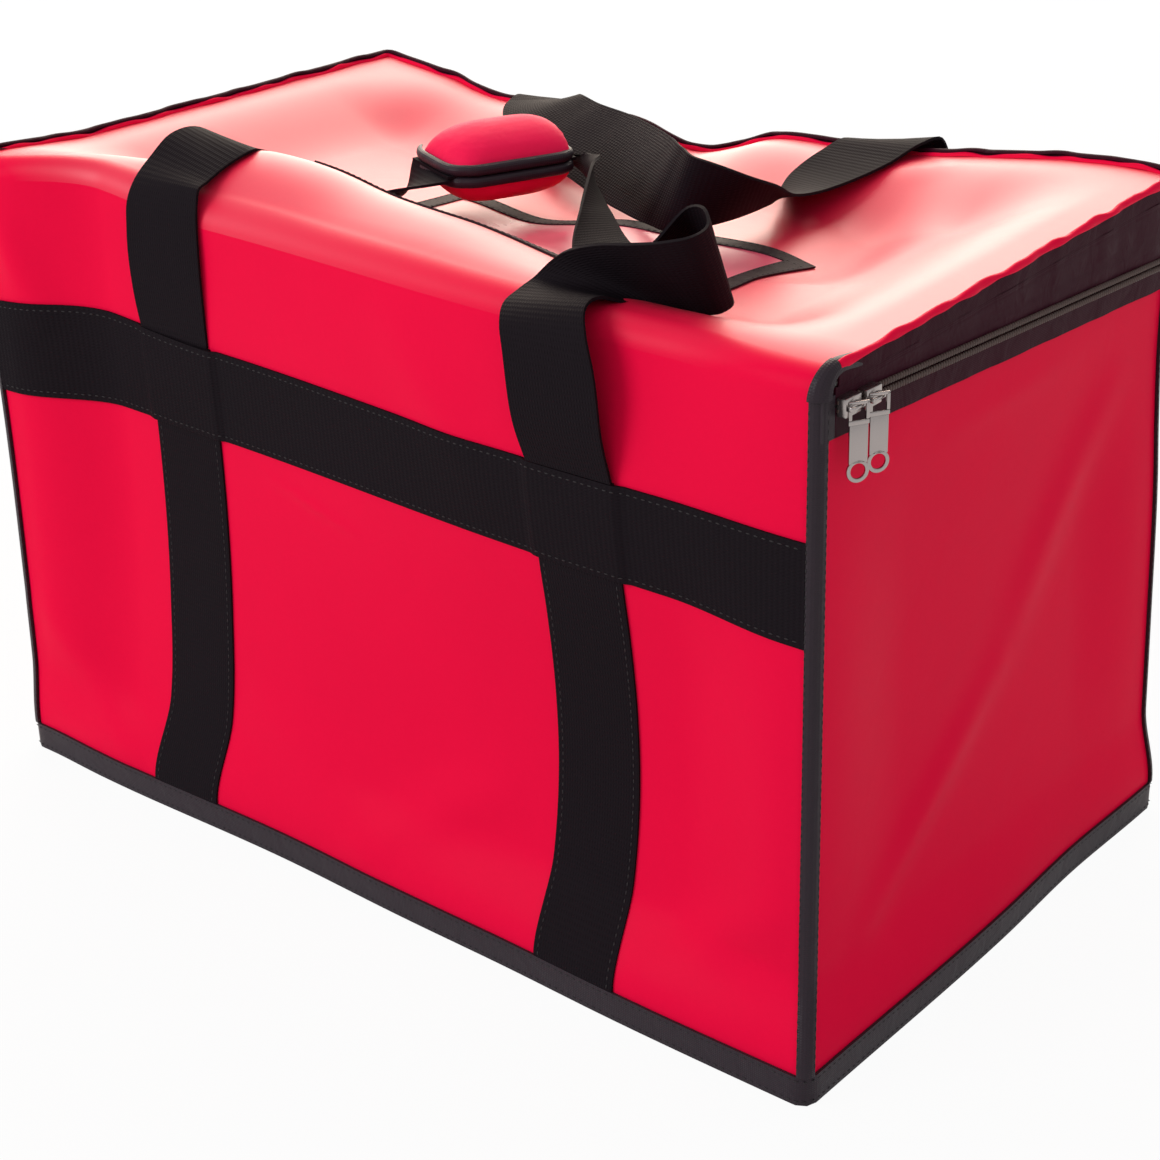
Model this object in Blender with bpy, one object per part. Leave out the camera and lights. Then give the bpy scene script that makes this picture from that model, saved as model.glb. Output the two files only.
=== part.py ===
import math

import bmesh
import bpy
from mathutils import Matrix, Vector

for old in list(bpy.data.objects):
    bpy.data.objects.remove(old, do_unlink=True)

# Overall size
BAG_LENGTH = 0.560
BAG_WIDTH = 0.335
BAG_HEIGHT = 0.355

# Fabric, foam and webbing
LAYER_GAP = 0.0003
COVER_THICKNESS = 0.0012
FOAM_THICKNESS = 0.009
LINER_THICKNESS = 0.0008
BOARD_THICKNESS = 0.002
WEBBING_WIDTH = 0.050
WEBBING_THICKNESS = 0.0015
STRAP_SPACING = 0.284
BAND_DROP = 0.077
BAND_RAMP = 0.004
BASE_BINDING_HEIGHT = 0.016
BASE_BINDING_LIFT = 0.0004
CORNER_BINDING_WIDTH = 0.009

# Mouth and zip, as depths below the top
HINGE_FOLD = 0.012
LID_BINDING_DEPTH = 0.009
UPPER_TAPE_TOP = 0.0093
TEETH_HEIGHT = 0.0025
TEETH_THICKNESS = 0.002
ZIP_DEPTH = 0.0166
ZIP_SLOT = 0.0014
WALL_TOP = 0.031
TAPE_START = 0.0103
TAB_LENGTH = 0.010

# Soft shape, as distances moved
STATION_GAP = 0.001
CORNER_REACH = 0.016
FACE_FADE = 0.085
WALL_ZONE = 0.014
FRONT_SINK = 0.021
BACK_SINK = 0.013
END_SINK = 0.006
LEFT_LEAN = 0.005
RIGHT_LEAN = 0.004
REAR_LEAN = 0.012
FRONT_FLARE = 0.015
RIGHT_FLARE = 0.009
FLARE_START = 0.017
FLARE_END = 0.060
REAR_SAG = 0.027
RIGHT_SAG = 0.018
LEFT_SAG = 0.002
LID_DISH = 0.019
EDGE_RISE = 0.010
CORNER_RISE = 0.027
CORNER_RISE_START = 0.23
SKIRT_TOP = 0.0118
SKIRT_END = 0.0133
SAG_FULL_DEPTH = 0.040
SAG_END_DEPTH = 0.150

# Handles and grip
HANDLE_RISE = 0.030
RISER_END = 0.008
LEG_GAP = 0.0006
JOIN_GAP = 0.0006
UNSOFTEN_STEPS = 8
GRIP_LENGTH = 0.088
GRIP_HALF_WIDTH = 0.030
GRIP_HALF_HEIGHT = 0.014
GRIP_PAD_THICKNESS = 0.004
GRIP_MOUTH_GAP = 0.00015
GRIP_BINDING = 0.006
GRIP_CENTRE_X = -0.064
GRIP_CENTRE_Y = 0.020
GRIP_DEPTH = 0.003
GRIP_YAW = math.radians(-23.6)
FASTENER_THICKNESS = 0.0008
FASTENER_LENGTH = 0.070

# Document window
WINDOW_LEFT = -0.117
WINDOW_RIGHT = 0.151
WINDOW_FRONT = -0.0994
WINDOW_BACK = 0.0249
WINDOW_BORDER = 0.009
WINDOW_BORDER_THICKNESS = 0.001
WINDOW_FILM = 0.0004

# Sliders and pulls
SLIDER_LENGTH = 0.012
SLIDER_HEIGHT = 0.009
SLIDER_PLATE = 0.0015
SLIDER_NECK = 0.0008
SLIDER_CLEARANCE = 0.0006
FRONT_SLIDER_Y = -0.1490
REAR_SLIDER_Y = -0.1325
BAIL_RADIUS = 0.0008
BAIL_REACH = 0.0034
BAIL_POST = 0.0014
EYE_BORE = 0.0013
EYE_RADIUS = 0.0026
EYE_LENGTH = 0.005
PULL_WIDTH = 0.010
PULL_LENGTH = 0.036
PULL_THICKNESS = 0.0012
PULL_HOLE_RADIUS = 0.002
PULL_HOLE_INSET = 0.0045
PULL_YAW = math.radians(30.0)
ROUND_SEGMENTS = 20

# Turning lines of the lid and the rear handle, from the outer top edges
LID_AXIS_INSET = 0.0077
LID_AXIS_DEPTH = 0.005
REAR_AXIS_DEPTH = 0.010

# Tables of shares: place along the edge or height, then share of the named distance
FRONT_LEFT_SHARES = (
    (0.00, 0.00), (0.05, 0.00), (0.18, 0.57), (0.35, 0.86), (0.67, 1.00),
    (0.84, 0.95), (0.93, 1.00), (1.00, 1.05),
)
FRONT_RIGHT_SHARES = (
    (0.00, 0.00), (0.05, 0.00), (0.18, 0.60), (0.30, 0.86), (0.43, 0.84),
    (0.55, 0.62), (0.64, 0.38), (0.78, 0.14), (0.90, 0.18), (1.00, 0.35),
)
BACK_SHARES = (
    (0.00, 0.00), (0.05, 0.00), (0.18, 0.60), (0.35, 0.90), (0.67, 1.00),
    (0.84, 0.60), (0.93, 0.20), (1.00, 0.00),
)
END_SHARES = (
    (0.00, 0.00), (0.05, 0.00), (0.25, 0.70), (0.50, 1.00), (0.75, 0.50),
    (0.88, 0.00), (1.00, 0.00),
)
LEFT_LEAN_SHARES = (
    (0.00, 0.00), (0.05, 0.00), (0.30, 0.60), (0.60, 1.00), (0.85, 0.50), (1.00, 0.20),
)
RIGHT_LEAN_SHARES = (
    (0.00, 0.00), (0.05, 0.00), (0.20, 0.14), (0.35, 0.30), (0.52, 0.50),
    (0.67, 0.80), (0.80, 1.00), (1.00, 1.00),
)
REAR_SAG_SHARES = (
    (-1.00, 0.07), (-0.83, 0.30), (-0.66, 0.63), (-0.46, 0.63), (-0.26, 0.67),
    (-0.10, 1.00), (0.00, 0.74), (0.08, 0.45), (0.27, 0.33), (0.52, 0.41),
    (0.82, 0.56), (1.00, 0.67),
)
FRONT_FLARE_SHARES = (
    (-1.00, 0.20), (-0.94, 0.20), (-0.80, 0.32), (-0.20, 0.32), (0.10, 0.55), (0.35, 0.66),
    (0.60, 0.85), (0.94, 0.92), (1.00, 0.92),
)
RIGHT_FLARE_SHARES = (
    (-1.00, 1.00), (-0.89, 1.00), (0.00, 0.95), (0.45, 0.60), (0.89, 0.70), (1.00, 0.70),
)
RAISED_SHARES = (
    (-0.28, -1.00, 0.50, 0.36, 0.70), (-0.80, -0.95, 0.40, 0.50, 1.00),
)
X_STATION_SHARES = (0.22, 0.71, 0.83)
Y_STATION_SHARES = (0.15, 0.36, 0.60)
Z_STATION_SHARES = (0.17, 0.30, 0.43, 0.55, 0.86)

# Webbing paths: x, y as shares of the half body, rise share, yaw and roll of the width
FRONT_LEFT_LEG_SHARES = (
    (-0.511, -1.046, -0.267, 0, 0), (-0.511, -1.034, -0.04, 0, 0), (-0.511, -0.995, 0.12, 0, 0),
    (-0.511, -0.940, 0.26, 0, 0), (-0.515, -0.84, 0.52, 0, 0),
    (-0.522, -0.63, 0.78, -4, 0), (-0.500, -0.49, 0.76, -14, -6), (-0.455, -0.37, 0.68, -22, -10),
    (-0.395, -0.25, 0.64, -24, -6),
)
FRONT_RIGHT_LEG_SHARES = (
    (0.511, -1.055, -0.267, 0, 0), (0.511, -1.038, -0.04, 0, 0), (0.512, -0.990, 0.14, 0, 0),
    (0.518, -0.920, 0.38, 0, 0), (0.545, -0.790, 0.86, -2, 0),
    (0.580, -0.600, 1.14, -2, 0), (0.600, -0.400, 0.98, 4, 0), (0.600, -0.180, 0.62, 20, 4),
    (0.545, 0.060, 0.30, 40, 4), (0.420, 0.260, 0.14, 52, 0), (0.270, 0.380, 0.10, 62, 0),
    (0.110, 0.430, 0.14, 74, 0), (0.000, 0.450, 0.26, 50, 0), (-0.080, 0.455, 0.46, 10, 0),
)
REAR_HANDLE_SHARES = (
    (-0.511, 0.936, 0.13, 0, 0), (-0.500, 0.860, 0.30, -8, 12), (-0.470, 0.790, 0.62, -24, 34),
    (-0.400, 0.715, 0.90, -52, 56), (-0.280, 0.680, 0.98, -76, 66), (0.000, 0.670, 0.98, -90, 68),
    (0.240, 0.670, 0.98, -100, 68), (0.390, 0.700, 0.90, -124, 58), (0.465, 0.780, 0.62, -154, 36),
    (0.498, 0.860, 0.30, -172, 12), (0.511, 0.936, 0.13, -180, 0),
)
REAR_LEFT_LEG_END = 4
REAR_RIGHT_LEG_START = 6
REAR_TURN_SHARES = ((1.050, -0.38), (1.048, -0.10), (1.025, 0.06), (0.985, 0.13), (0.940, 0.15))
FRONT_LEFT_RISER_SHARES = ((0.00, 0.02), (0.30, 0.10), (0.58, 0.18), (0.85, 0.22), (1.00, 0.22))
FRONT_RIGHT_RISER_SHARES = ((0.00, 0.02), (0.30, 0.26), (0.58, 0.42), (0.85, 0.37), (1.00, 0.27))
BACK_RISER_SHARES = ((0.00, 0.02), (0.30, 0.12), (0.58, 0.20), (0.85, 0.24), (1.00, 0.24))

half_x = BAG_LENGTH / 2 - WEBBING_THICKNESS - LAYER_GAP
half_y = BAG_WIDTH / 2 - WEBBING_THICKNESS - LAYER_GAP
half_strap = WEBBING_WIDTH / 2
strap_x = STRAP_SPACING / 2
band_top = BAG_HEIGHT - BAND_DROP
band_bottom = band_top - WEBBING_WIDTH
base_top = COVER_THICKNESS + LAYER_GAP
foam_near = COVER_THICKNESS + LAYER_GAP
foam_far = foam_near + FOAM_THICKNESS
liner_near = foam_far + LAYER_GAP
liner_far = liner_near + LINER_THICKNESS
board_low = foam_far + LAYER_GAP
tub_low = board_low + BOARD_THICKNESS + LAYER_GAP
front_top = BAG_HEIGHT - HINGE_FOLD - LAYER_GAP
wall_top = BAG_HEIGHT - WALL_TOP
lid_front = -half_y + HINGE_FOLD + LAYER_GAP
zip_z = BAG_HEIGHT - ZIP_DEPTH


def colour_material(name, colour, roughness, metallic=0.0):
    material = bpy.data.materials.new(name)
    material.use_nodes = True
    shader = material.node_tree.nodes["Principled BSDF"]
    shader.inputs["Base Color"].default_value = (*colour, 1.0)
    shader.inputs["Roughness"].default_value = roughness
    shader.inputs["Metallic"].default_value = metallic
    return material


cover_red = colour_material("cover_red", (0.72, 0.01, 0.06), 0.35)
foam_white = colour_material("foam_white", (0.85, 0.85, 0.82), 0.9)
liner_silver = colour_material("liner_silver", (0.70, 0.71, 0.72), 0.3)
board_grey = colour_material("board_grey", (0.25, 0.25, 0.26), 0.6)
webbing_black = colour_material("webbing_black", (0.020, 0.017, 0.020), 0.7)
binding_black = colour_material("binding_black", (0.025, 0.022, 0.025), 0.65)
zip_black = colour_material("zip_black", (0.018, 0.018, 0.020), 0.55)
grip_red = colour_material("grip_red", (0.70, 0.01, 0.06), 0.45)
fastener_black = colour_material("fastener_black", (0.03, 0.03, 0.03), 0.95)
film_clear = colour_material("film_clear", (0.90, 0.88, 0.88), 0.1)
zip_steel = colour_material("zip_steel", (0.62, 0.62, 0.64), 0.28, 1.0)


def clamp(value):
    return min(max(value, 0.0), 1.0)


def smooth_step(value):
    t = clamp(value)
    return t * t * (3 - 2 * t)


def look_up(table, place):
    if place <= table[0][0]:
        return table[0][1]
    for (low, first), (high, second) in zip(table, table[1:]):
        if place <= high:
            return first + (second - first) * (place - low) / (high - low)
    return table[-1][1]


def edge_fade(value, half):
    return smooth_step((half - CORNER_REACH - abs(value)) / (FACE_FADE - CORNER_REACH))


def near_share(value, half):
    return clamp(value / (half - WALL_ZONE))


def raised_edges(x, y):
    rise = 0.0
    for place_x, place_y, reach_x, reach_y, share in RAISED_SHARES:
        away_x = abs(x / half_x - place_x) / reach_x
        away_y = abs(y / half_y - place_y) / reach_y
        if away_x < 1 and away_y < 1:
            bump = (1 + math.cos(math.pi * away_x)) * (1 + math.cos(math.pi * away_y))
            rise += share * EDGE_RISE * bump / 4
    return rise


def top_drop(x, y):
    u = clamp((x + half_x) / (2 * half_x))
    v = clamp((y + half_y) / (2 * half_y))
    rear = look_up(REAR_SAG_SHARES, x / half_x) * REAR_SAG
    rear_line = LEFT_SAG * (1 - u) + RIGHT_SAG * u
    sides = v * (LEFT_SAG * (1 - u) + RIGHT_SAG * u)
    dish = LID_DISH * edge_fade(x, half_x) * edge_fade(y, half_y)
    return v * (rear - rear_line) + sides + dish - raised_edges(x, y)


def corner_lift(x, y):
    v = clamp((y + half_y) / (2 * half_y))
    along = clamp((x / half_x - CORNER_RISE_START) / (1 - CORNER_RISE_START))
    return CORNER_RISE * along * v


def soften(point):
    x, y, z = point
    up = z / BAG_HEIGHT
    depth = BAG_HEIGHT - z
    face = edge_fade(x, half_x)
    mix = smooth_step((x + strap_x) / (2 * strap_x))
    left = look_up(FRONT_LEFT_SHARES, up)
    right = look_up(FRONT_RIGHT_SHARES, up)
    front = FRONT_SINK * face * (left + (right - left) * mix)
    back = BACK_SINK * face * look_up(BACK_SHARES, up)
    end = END_SINK * edge_fade(y, half_y) * look_up(END_SHARES, up)
    left_end = end + LEFT_LEAN * look_up(LEFT_LEAN_SHARES, up)
    v = clamp((y + half_y) / (2 * half_y))
    lean = look_up(RIGHT_LEAN_SHARES, up) * v * max(x, 0.0) / half_x
    low = clamp((FLARE_END - z) / (FLARE_END - FLARE_START))
    front -= FRONT_FLARE * low * look_up(FRONT_FLARE_SHARES, x / half_x)
    end -= RIGHT_FLARE * low * look_up(RIGHT_FLARE_SHARES, y / half_y)
    moved_x = x + left_end * near_share(-x, half_x) - end * near_share(x, half_x)
    moved_y = y + front * near_share(-y, half_y) - back * near_share(y, half_y)
    moved_x -= RIGHT_LEAN * lean
    moved_y -= REAR_LEAN * lean
    sag = clamp((SAG_END_DEPTH - depth) / (SAG_END_DEPTH - SAG_FULL_DEPTH))
    lift = clamp((SKIRT_END - depth) / (SKIRT_END - SKIRT_TOP))
    moved_z = z - sag * top_drop(x, y) + lift * corner_lift(x, y)
    return Vector((moved_x, moved_y, moved_z))


def both_sides(values):
    return sorted({sign * value for value in values for sign in (-1, 1)})


x_marks = both_sides(
    [half_x - CORNER_REACH, strap_x - half_strap, strap_x, strap_x + half_strap, 0.0]
    + [share * half_x for share in X_STATION_SHARES]
)
y_marks = both_sides(
    [half_y - CORNER_REACH] + [share * half_y for share in Y_STATION_SHARES]
)
z_marks = sorted(
    [BASE_BINDING_HEIGHT + LAYER_GAP, band_bottom, band_top, wall_top]
    + [share * BAG_HEIGHT for share in Z_STATION_SHARES]
)


def stations(marks, low, high):
    inner = [m for m in marks if low + STATION_GAP < m < high - STATION_GAP]
    return [low] + inner + [high]


def add_object(name, mesh, material):
    new = bpy.data.objects.new(name, mesh)
    new.data.materials.clear()
    new.data.materials.append(material)
    bpy.context.scene.collection.objects.link(new)
    return new


def solid(name, points, faces, material, warp=True):
    mesh = bpy.data.meshes.new(name)
    placed = [soften(p) if warp else Vector(p) for p in points]
    mesh.from_pydata(placed, [], faces)
    work = bmesh.new()
    work.from_mesh(mesh)
    bmesh.ops.recalc_face_normals(work, faces=work.faces)
    if work.calc_volume(signed=True) < 0:
        bmesh.ops.reverse_faces(work, faces=work.faces)
    work.to_mesh(mesh)
    work.free()
    return add_object(name, mesh, material)


def quad(a, b, c, d):
    return [(a, b, c), (a, c, d)]


def panel_quad(points, a, b, c, d):
    if sum(points[a][:2]) <= sum(points[b][:2]):
        return [(a, b, c), (a, c, d)]
    return [(a, b, d), (b, c, d)]


def grid_solid(name, point_at, count_u, count_v, material, keep=None, ring=False, warp=True):
    cells_u = count_u if ring else count_u - 1
    kept = {
        (i, j)
        for i in range(cells_u)
        for j in range(count_v - 1)
        if keep is None or keep(i, j)
    }
    index, points, faces = {}, [], []

    def corner(i, j, side):
        key = (i % count_u, j, side)
        if key not in index:
            index[key] = len(points)
            points.append(point_at(*key))
        return index[key]

    for i, j in sorted(kept):
        for side in (0, 1):
            faces += panel_quad(
                points, corner(i, j, side), corner(i + 1, j, side),
                corner(i + 1, j + 1, side), corner(i, j + 1, side),
            )
        rims = (
            ((i, j - 1), (i, j), (i + 1, j)),
            ((i, j + 1), (i, j + 1), (i + 1, j + 1)),
            (((i - 1) % count_u if ring else i - 1, j), (i, j), (i, j + 1)),
            (((i + 1) % count_u if ring else i + 1, j), (i + 1, j), (i + 1, j + 1)),
        )
        for other, first, second in rims:
            if other not in kept:
                faces += quad(
                    corner(*first, 0), corner(*second, 0),
                    corner(*second, 1), corner(*first, 1),
                )
    return solid(name, points, faces, material, warp)


def on_front(u, v, out):
    return (u, -half_y - out, v)


def on_back(u, v, out):
    return (u, half_y + out, v)


def on_left(u, v, out):
    return (-half_x - out, u, v)


def on_right(u, v, out):
    return (half_x + out, u, v)


def on_top(u, v, out):
    return (u, v, BAG_HEIGHT + out)


def slab(name, place, us, vs, low, high, material, keep=None):
    def point_at(i, j, side):
        return place(us[i], vs[j], high if side else low)

    return grid_solid(name, point_at, len(us), len(vs), material, keep)


def level(u, v, out):
    return (u, v, out)


def side_path(front_y):
    ys = stations(y_marks, front_y, half_y)
    xs = stations(x_marks, -half_x, half_x)
    path = [(half_x, y, 1, 0) for y in ys[:-1]]
    path.append((half_x, half_y, 1, 1))
    path += [(x, half_y, 0, 1) for x in reversed(xs[1:-1])]
    path.append((-half_x, half_y, -1, 1))
    path += [(-half_x, y, -1, 0) for y in reversed(ys[:-1])]
    return path


def loop_path():
    ys = stations(y_marks, -half_y, half_y)
    xs = stations(x_marks, -half_x, half_x)
    path = [(half_x, -half_y, 1, -1)] + [(half_x, y, 1, 0) for y in ys[1:-1]]
    path += [(half_x, half_y, 1, 1)] + [(x, half_y, 0, 1) for x in reversed(xs[1:-1])]
    path += [(-half_x, half_y, -1, 1)] + [(-half_x, y, -1, 0) for y in reversed(ys[1:-1])]
    path += [(-half_x, -half_y, -1, -1)] + [(x, -half_y, 0, -1) for x in xs[1:-1]]
    return path


def wrapped(name, path, zs, low, high, material, ring=False):
    def point_at(i, j, side):
        x, y, out_x, out_y = path[i]
        out = high if side else low
        return (x + out_x * out, y + out_y * out, zs[j])

    return grid_solid(name, point_at, len(path), len(zs), material, None, ring)


# Walls, foam and base
front_xs = stations(x_marks, -half_x, half_x)
front_zs = stations(z_marks, base_top, front_top)
wall_zs = stations(z_marks, base_top, wall_top)
end_cover_ys = stations(y_marks, -half_y + foam_near, half_y - foam_near)
foam_xs = stations(x_marks, -half_x + foam_near, half_x - foam_near)
end_foam_reach = half_y - foam_far - LAYER_GAP
end_foam_ys = stations(y_marks, -end_foam_reach, end_foam_reach)

slab("shell_front", on_front, front_xs, front_zs, -COVER_THICKNESS, 0, cover_red)
slab("shell_back", on_back, front_xs, wall_zs, -COVER_THICKNESS, 0, cover_red)
slab("shell_left", on_left, end_cover_ys, wall_zs, -COVER_THICKNESS, 0, cover_red)
slab("shell_right", on_right, end_cover_ys, wall_zs, -COVER_THICKNESS, 0, cover_red)
slab("foam_front", on_front, foam_xs, front_zs, -foam_far, -foam_near, foam_white)
slab("foam_back", on_back, foam_xs, wall_zs, -foam_far, -foam_near, foam_white)
slab("foam_left", on_left, end_foam_ys, wall_zs, -foam_far, -foam_near, foam_white)
slab("foam_right", on_right, end_foam_ys, wall_zs, -foam_far, -foam_near, foam_white)
base_ys = stations(y_marks, -half_y, half_y)
slab("shell_base", level, front_xs, base_ys, 0, COVER_THICKNESS, cover_red)
inner_x = half_x - liner_near
inner_y = half_y - liner_near
inner_xs = stations(x_marks, -inner_x, inner_x)
inner_ys = stations(y_marks, -inner_y, inner_y)
slab("foam_base", level, inner_xs, inner_ys, foam_near, foam_far, foam_white)
board_far = board_low + BOARD_THICKNESS
slab("base_board", level, inner_xs, inner_ys, board_low, board_far, board_grey)

# Liner tub: four thin walls and a floor in one piece
tub_path = loop_path()
tub_zs = stations(z_marks, tub_low + LINER_THICKNESS, wall_top)


def build_tub():
    points, faces = [], []
    count = len(tub_path)
    for out in (-liner_near, -liner_far):
        for row, z in enumerate(tub_zs):
            height = tub_low if row == 0 and out == -liner_near else z
            for x, y, out_x, out_y in tub_path:
                points.append((x + out_x * out, y + out_y * out, height))
    rows = len(tub_zs)
    for shell in (0, 1):
        base = shell * rows * count
        for row in range(rows - 1):
            for i in range(count):
                here = base + row * count
                after = (i + 1) % count
                faces += panel_quad(
                    points, here + i, here + after, here + count + after, here + count + i
                )
        faces.append(tuple(range(base, base + count)))
    outer = (rows - 1) * count
    inner = (2 * rows - 1) * count
    for i in range(count):
        after = (i + 1) % count
        faces += quad(outer + i, outer + after, inner + after, inner + i)
    return solid("liner_tub", points, faces, liner_silver)


build_tub()
lip_xs = stations(x_marks, -half_x + liner_far, half_x - liner_far)
slab(
    "liner_lip", on_front, lip_xs, [wall_top + LAYER_GAP, front_top],
    -liner_far, -liner_near, liner_silver,
)

# Front top fold that the lid turns on
fold_xs = stations(x_marks, -half_x, half_x)
fold_steps = 5


def fold_point(i, j, side):
    turn = math.pi / 2 * j / (fold_steps - 1)
    radius = HINGE_FOLD - (0 if side else COVER_THICKNESS)
    y = -half_y + HINGE_FOLD - radius * math.cos(turn)
    z = BAG_HEIGHT - HINGE_FOLD + radius * math.sin(turn)
    return (fold_xs[i], y, z)


grid_solid("lid_hinge_fold", fold_point, len(fold_xs), fold_steps, cover_red)

# Lid
lid_x = half_x - LAYER_GAP
lid_y = half_y - LAYER_GAP
border_xs = [WINDOW_LEFT, WINDOW_LEFT + WINDOW_BORDER, WINDOW_RIGHT]
border_ys = [WINDOW_FRONT + WINDOW_BORDER, WINDOW_BACK - WINDOW_BORDER]


def spaced(values):
    kept = []
    for value in sorted(values):
        if not kept or value - kept[-1] > STATION_GAP / 2:
            kept.append(value)
    return kept


lid_x_marks = spaced(x_marks + border_xs)
lid_y_marks = spaced(y_marks + border_ys)
lid_xs = stations(lid_x_marks, -lid_x, lid_x)
lid_ys = stations(lid_y_marks, lid_front, lid_y)
slab("lid_cover", on_top, lid_xs, lid_ys, -COVER_THICKNESS, 0, cover_red)
slab("foam_lid", on_top, lid_xs, lid_ys, -foam_far, -foam_near, foam_white)
slab("liner_lid", on_top, lid_xs, lid_ys, -liner_far, -liner_near, liner_silver)

# Zip band round the right, back and left edges
tape_front = -half_y + TAPE_START
teeth_near = COVER_THICKNESS + LAYER_GAP
teeth_far = teeth_near + TEETH_THICKNESS
slot_top = zip_z + ZIP_SLOT / 2
slot_low = zip_z - ZIP_SLOT / 2
binding_zs = [BAG_HEIGHT - LID_BINDING_DEPTH, BAG_HEIGHT]
upper_zs = [slot_top, BAG_HEIGHT - UPPER_TAPE_TOP]
lower_zs = [wall_top + LAYER_GAP, slot_low]
lid_path = side_path(lid_front)
tape_path = side_path(tape_front)
wrapped("lid_binding", lid_path, binding_zs, 0, WEBBING_THICKNESS, binding_black)
wrapped("zip_tape_upper", tape_path, upper_zs, 0, COVER_THICKNESS, zip_black)
wrapped("zip_tape_lower", tape_path, lower_zs, 0, COVER_THICKNESS, zip_black)
upper_teeth_zs = [slot_top, slot_top + TEETH_HEIGHT]
lower_teeth_zs = [slot_low - TEETH_HEIGHT, slot_low]
wrapped("zip_teeth_upper", tape_path, upper_teeth_zs, teeth_near, teeth_far, zip_steel)
wrapped("zip_teeth_lower", tape_path, lower_teeth_zs, teeth_near, teeth_far, zip_steel)
tab_ys = [-half_y, -half_y + TAB_LENGTH]
tab_zs = [wall_top + LAYER_GAP, front_top]
slab("zip_end_left", on_left, tab_ys, tab_zs, LAYER_GAP, COVER_THICKNESS, binding_black)
slab("zip_end_right", on_right, tab_ys, tab_zs, LAYER_GAP, COVER_THICKNESS, binding_black)

# Edge bindings
ring_zs = [BASE_BINDING_LIFT, BASE_BINDING_HEIGHT]
ring_out = LAYER_GAP + WEBBING_THICKNESS
wrapped("binding_base", loop_path(), ring_zs, LAYER_GAP, ring_out, binding_black, True)


def corner_binding(name, sign_x, sign_y, top):
    edge_x = sign_x * half_x
    edge_y = sign_y * half_y
    path = [
        (edge_x, edge_y - sign_y * CORNER_BINDING_WIDTH, sign_x, 0),
        (edge_x, edge_y, sign_x, sign_y),
        (edge_x - sign_x * CORNER_BINDING_WIDTH, edge_y, 0, sign_y),
    ]
    zs = stations(z_marks, BASE_BINDING_HEIGHT + LAYER_GAP, top)
    wrapped(name, path, zs, LAYER_GAP, ring_out, binding_black)


side_top = wall_top - LAYER_GAP
corner_binding("binding_front_left", -1, -1, side_top)
corner_binding("binding_front_right", 1, -1, side_top)
corner_binding("binding_back_left", -1, 1, side_top)
corner_binding("binding_back_right", 1, 1, side_top)

# Sewn straps, bands over them and free risers above
strap_near = LAYER_GAP
strap_far = strap_near + WEBBING_THICKNESS
band_step = strap_far
strap_zs = stations(z_marks, BASE_BINDING_HEIGHT + LAYER_GAP, band_top)
sides = (("left", -strap_x), ("right", strap_x))
for side_name, centre in sides:
    strap_us = [centre - half_strap, centre, centre + half_strap]
    for face_name, place in (("front", on_front), ("back", on_back)):
        name = f"strap_{face_name}_{side_name}"
        slab(name, place, strap_us, strap_zs, strap_near, strap_far, webbing_black)

band_reach = half_x - CORNER_BINDING_WIDTH - LAYER_GAP
band_marks = x_marks + both_sides(
    [strap_x - half_strap - BAND_RAMP, strap_x + half_strap + BAND_RAMP]
)
band_us = stations(sorted(band_marks), -band_reach, band_reach)


def band_solid(name, place):
    def point_at(i, j, side):
        over = abs(abs(band_us[i]) - strap_x) < half_strap + BAND_RAMP / 2
        near = LAYER_GAP + (band_step if over else 0)
        out = near + (WEBBING_THICKNESS if side else 0)
        return place(band_us[i], (band_bottom, band_top)[j], out)

    grid_solid(name, point_at, len(band_us), 2, webbing_black)


band_solid("band_front", on_front)
band_solid("band_back", on_back)


def ribbon(name, centres, widths, normals, material, warp=True):
    def point_at(i, j, side):
        across = (j - 1) * half_strap
        off = (side - 0.5) * WEBBING_THICKNESS
        return centres[i] + widths[i] * across + normals[i] * off

    return grid_solid(name, point_at, len(centres), 3, material, warp=warp)


def path_normals(centres, widths):
    normals = []
    for i, width in enumerate(widths):
        before = centres[max(i - 1, 0)]
        after = centres[min(i + 1, len(centres) - 1)]
        normals.append((after - before).cross(width).normalized())
    return normals


def riser(name, centre_x, sign, table, top_z):
    start = band_top + LAYER_GAP
    base = half_y + strap_near + WEBBING_THICKNESS / 2
    centres = [
        Vector((centre_x, sign * (base + out * HANDLE_RISE), start + t * (top_z - start)))
        for t, out in table
    ]
    widths = [Vector((1, 0, 0))] * len(centres)
    ribbon(name, centres, widths, path_normals(centres, widths), webbing_black)


riser_top = BAG_HEIGHT - RISER_END
riser("riser_front_left", -strap_x, -1, FRONT_LEFT_RISER_SHARES, riser_top)
riser("riser_front_right", strap_x, -1, FRONT_RIGHT_RISER_SHARES, riser_top)
rear_riser_top = BAG_HEIGHT - HINGE_FOLD
riser("riser_back_left", -strap_x, 1, BACK_RISER_SHARES, rear_riser_top)
riser("riser_back_right", strap_x, 1, BACK_RISER_SHARES, rear_riser_top)


def rear_turn(name, centre_x):
    centres = [
        Vector((centre_x, y * half_y, BAG_HEIGHT + rise * HANDLE_RISE))
        for y, rise in REAR_TURN_SHARES
    ]
    widths = [Vector((1, 0, 0))] * len(centres)
    ribbon(name, centres, widths, path_normals(centres, widths), webbing_black)


rear_turn("rear_turn_left", -strap_x)
rear_turn("rear_turn_right", strap_x)


def unsoften(target):
    nominal = Vector(target)
    for _ in range(UNSOFTEN_STEPS):
        nominal += Vector(target) - soften(nominal)
    return nominal


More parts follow.
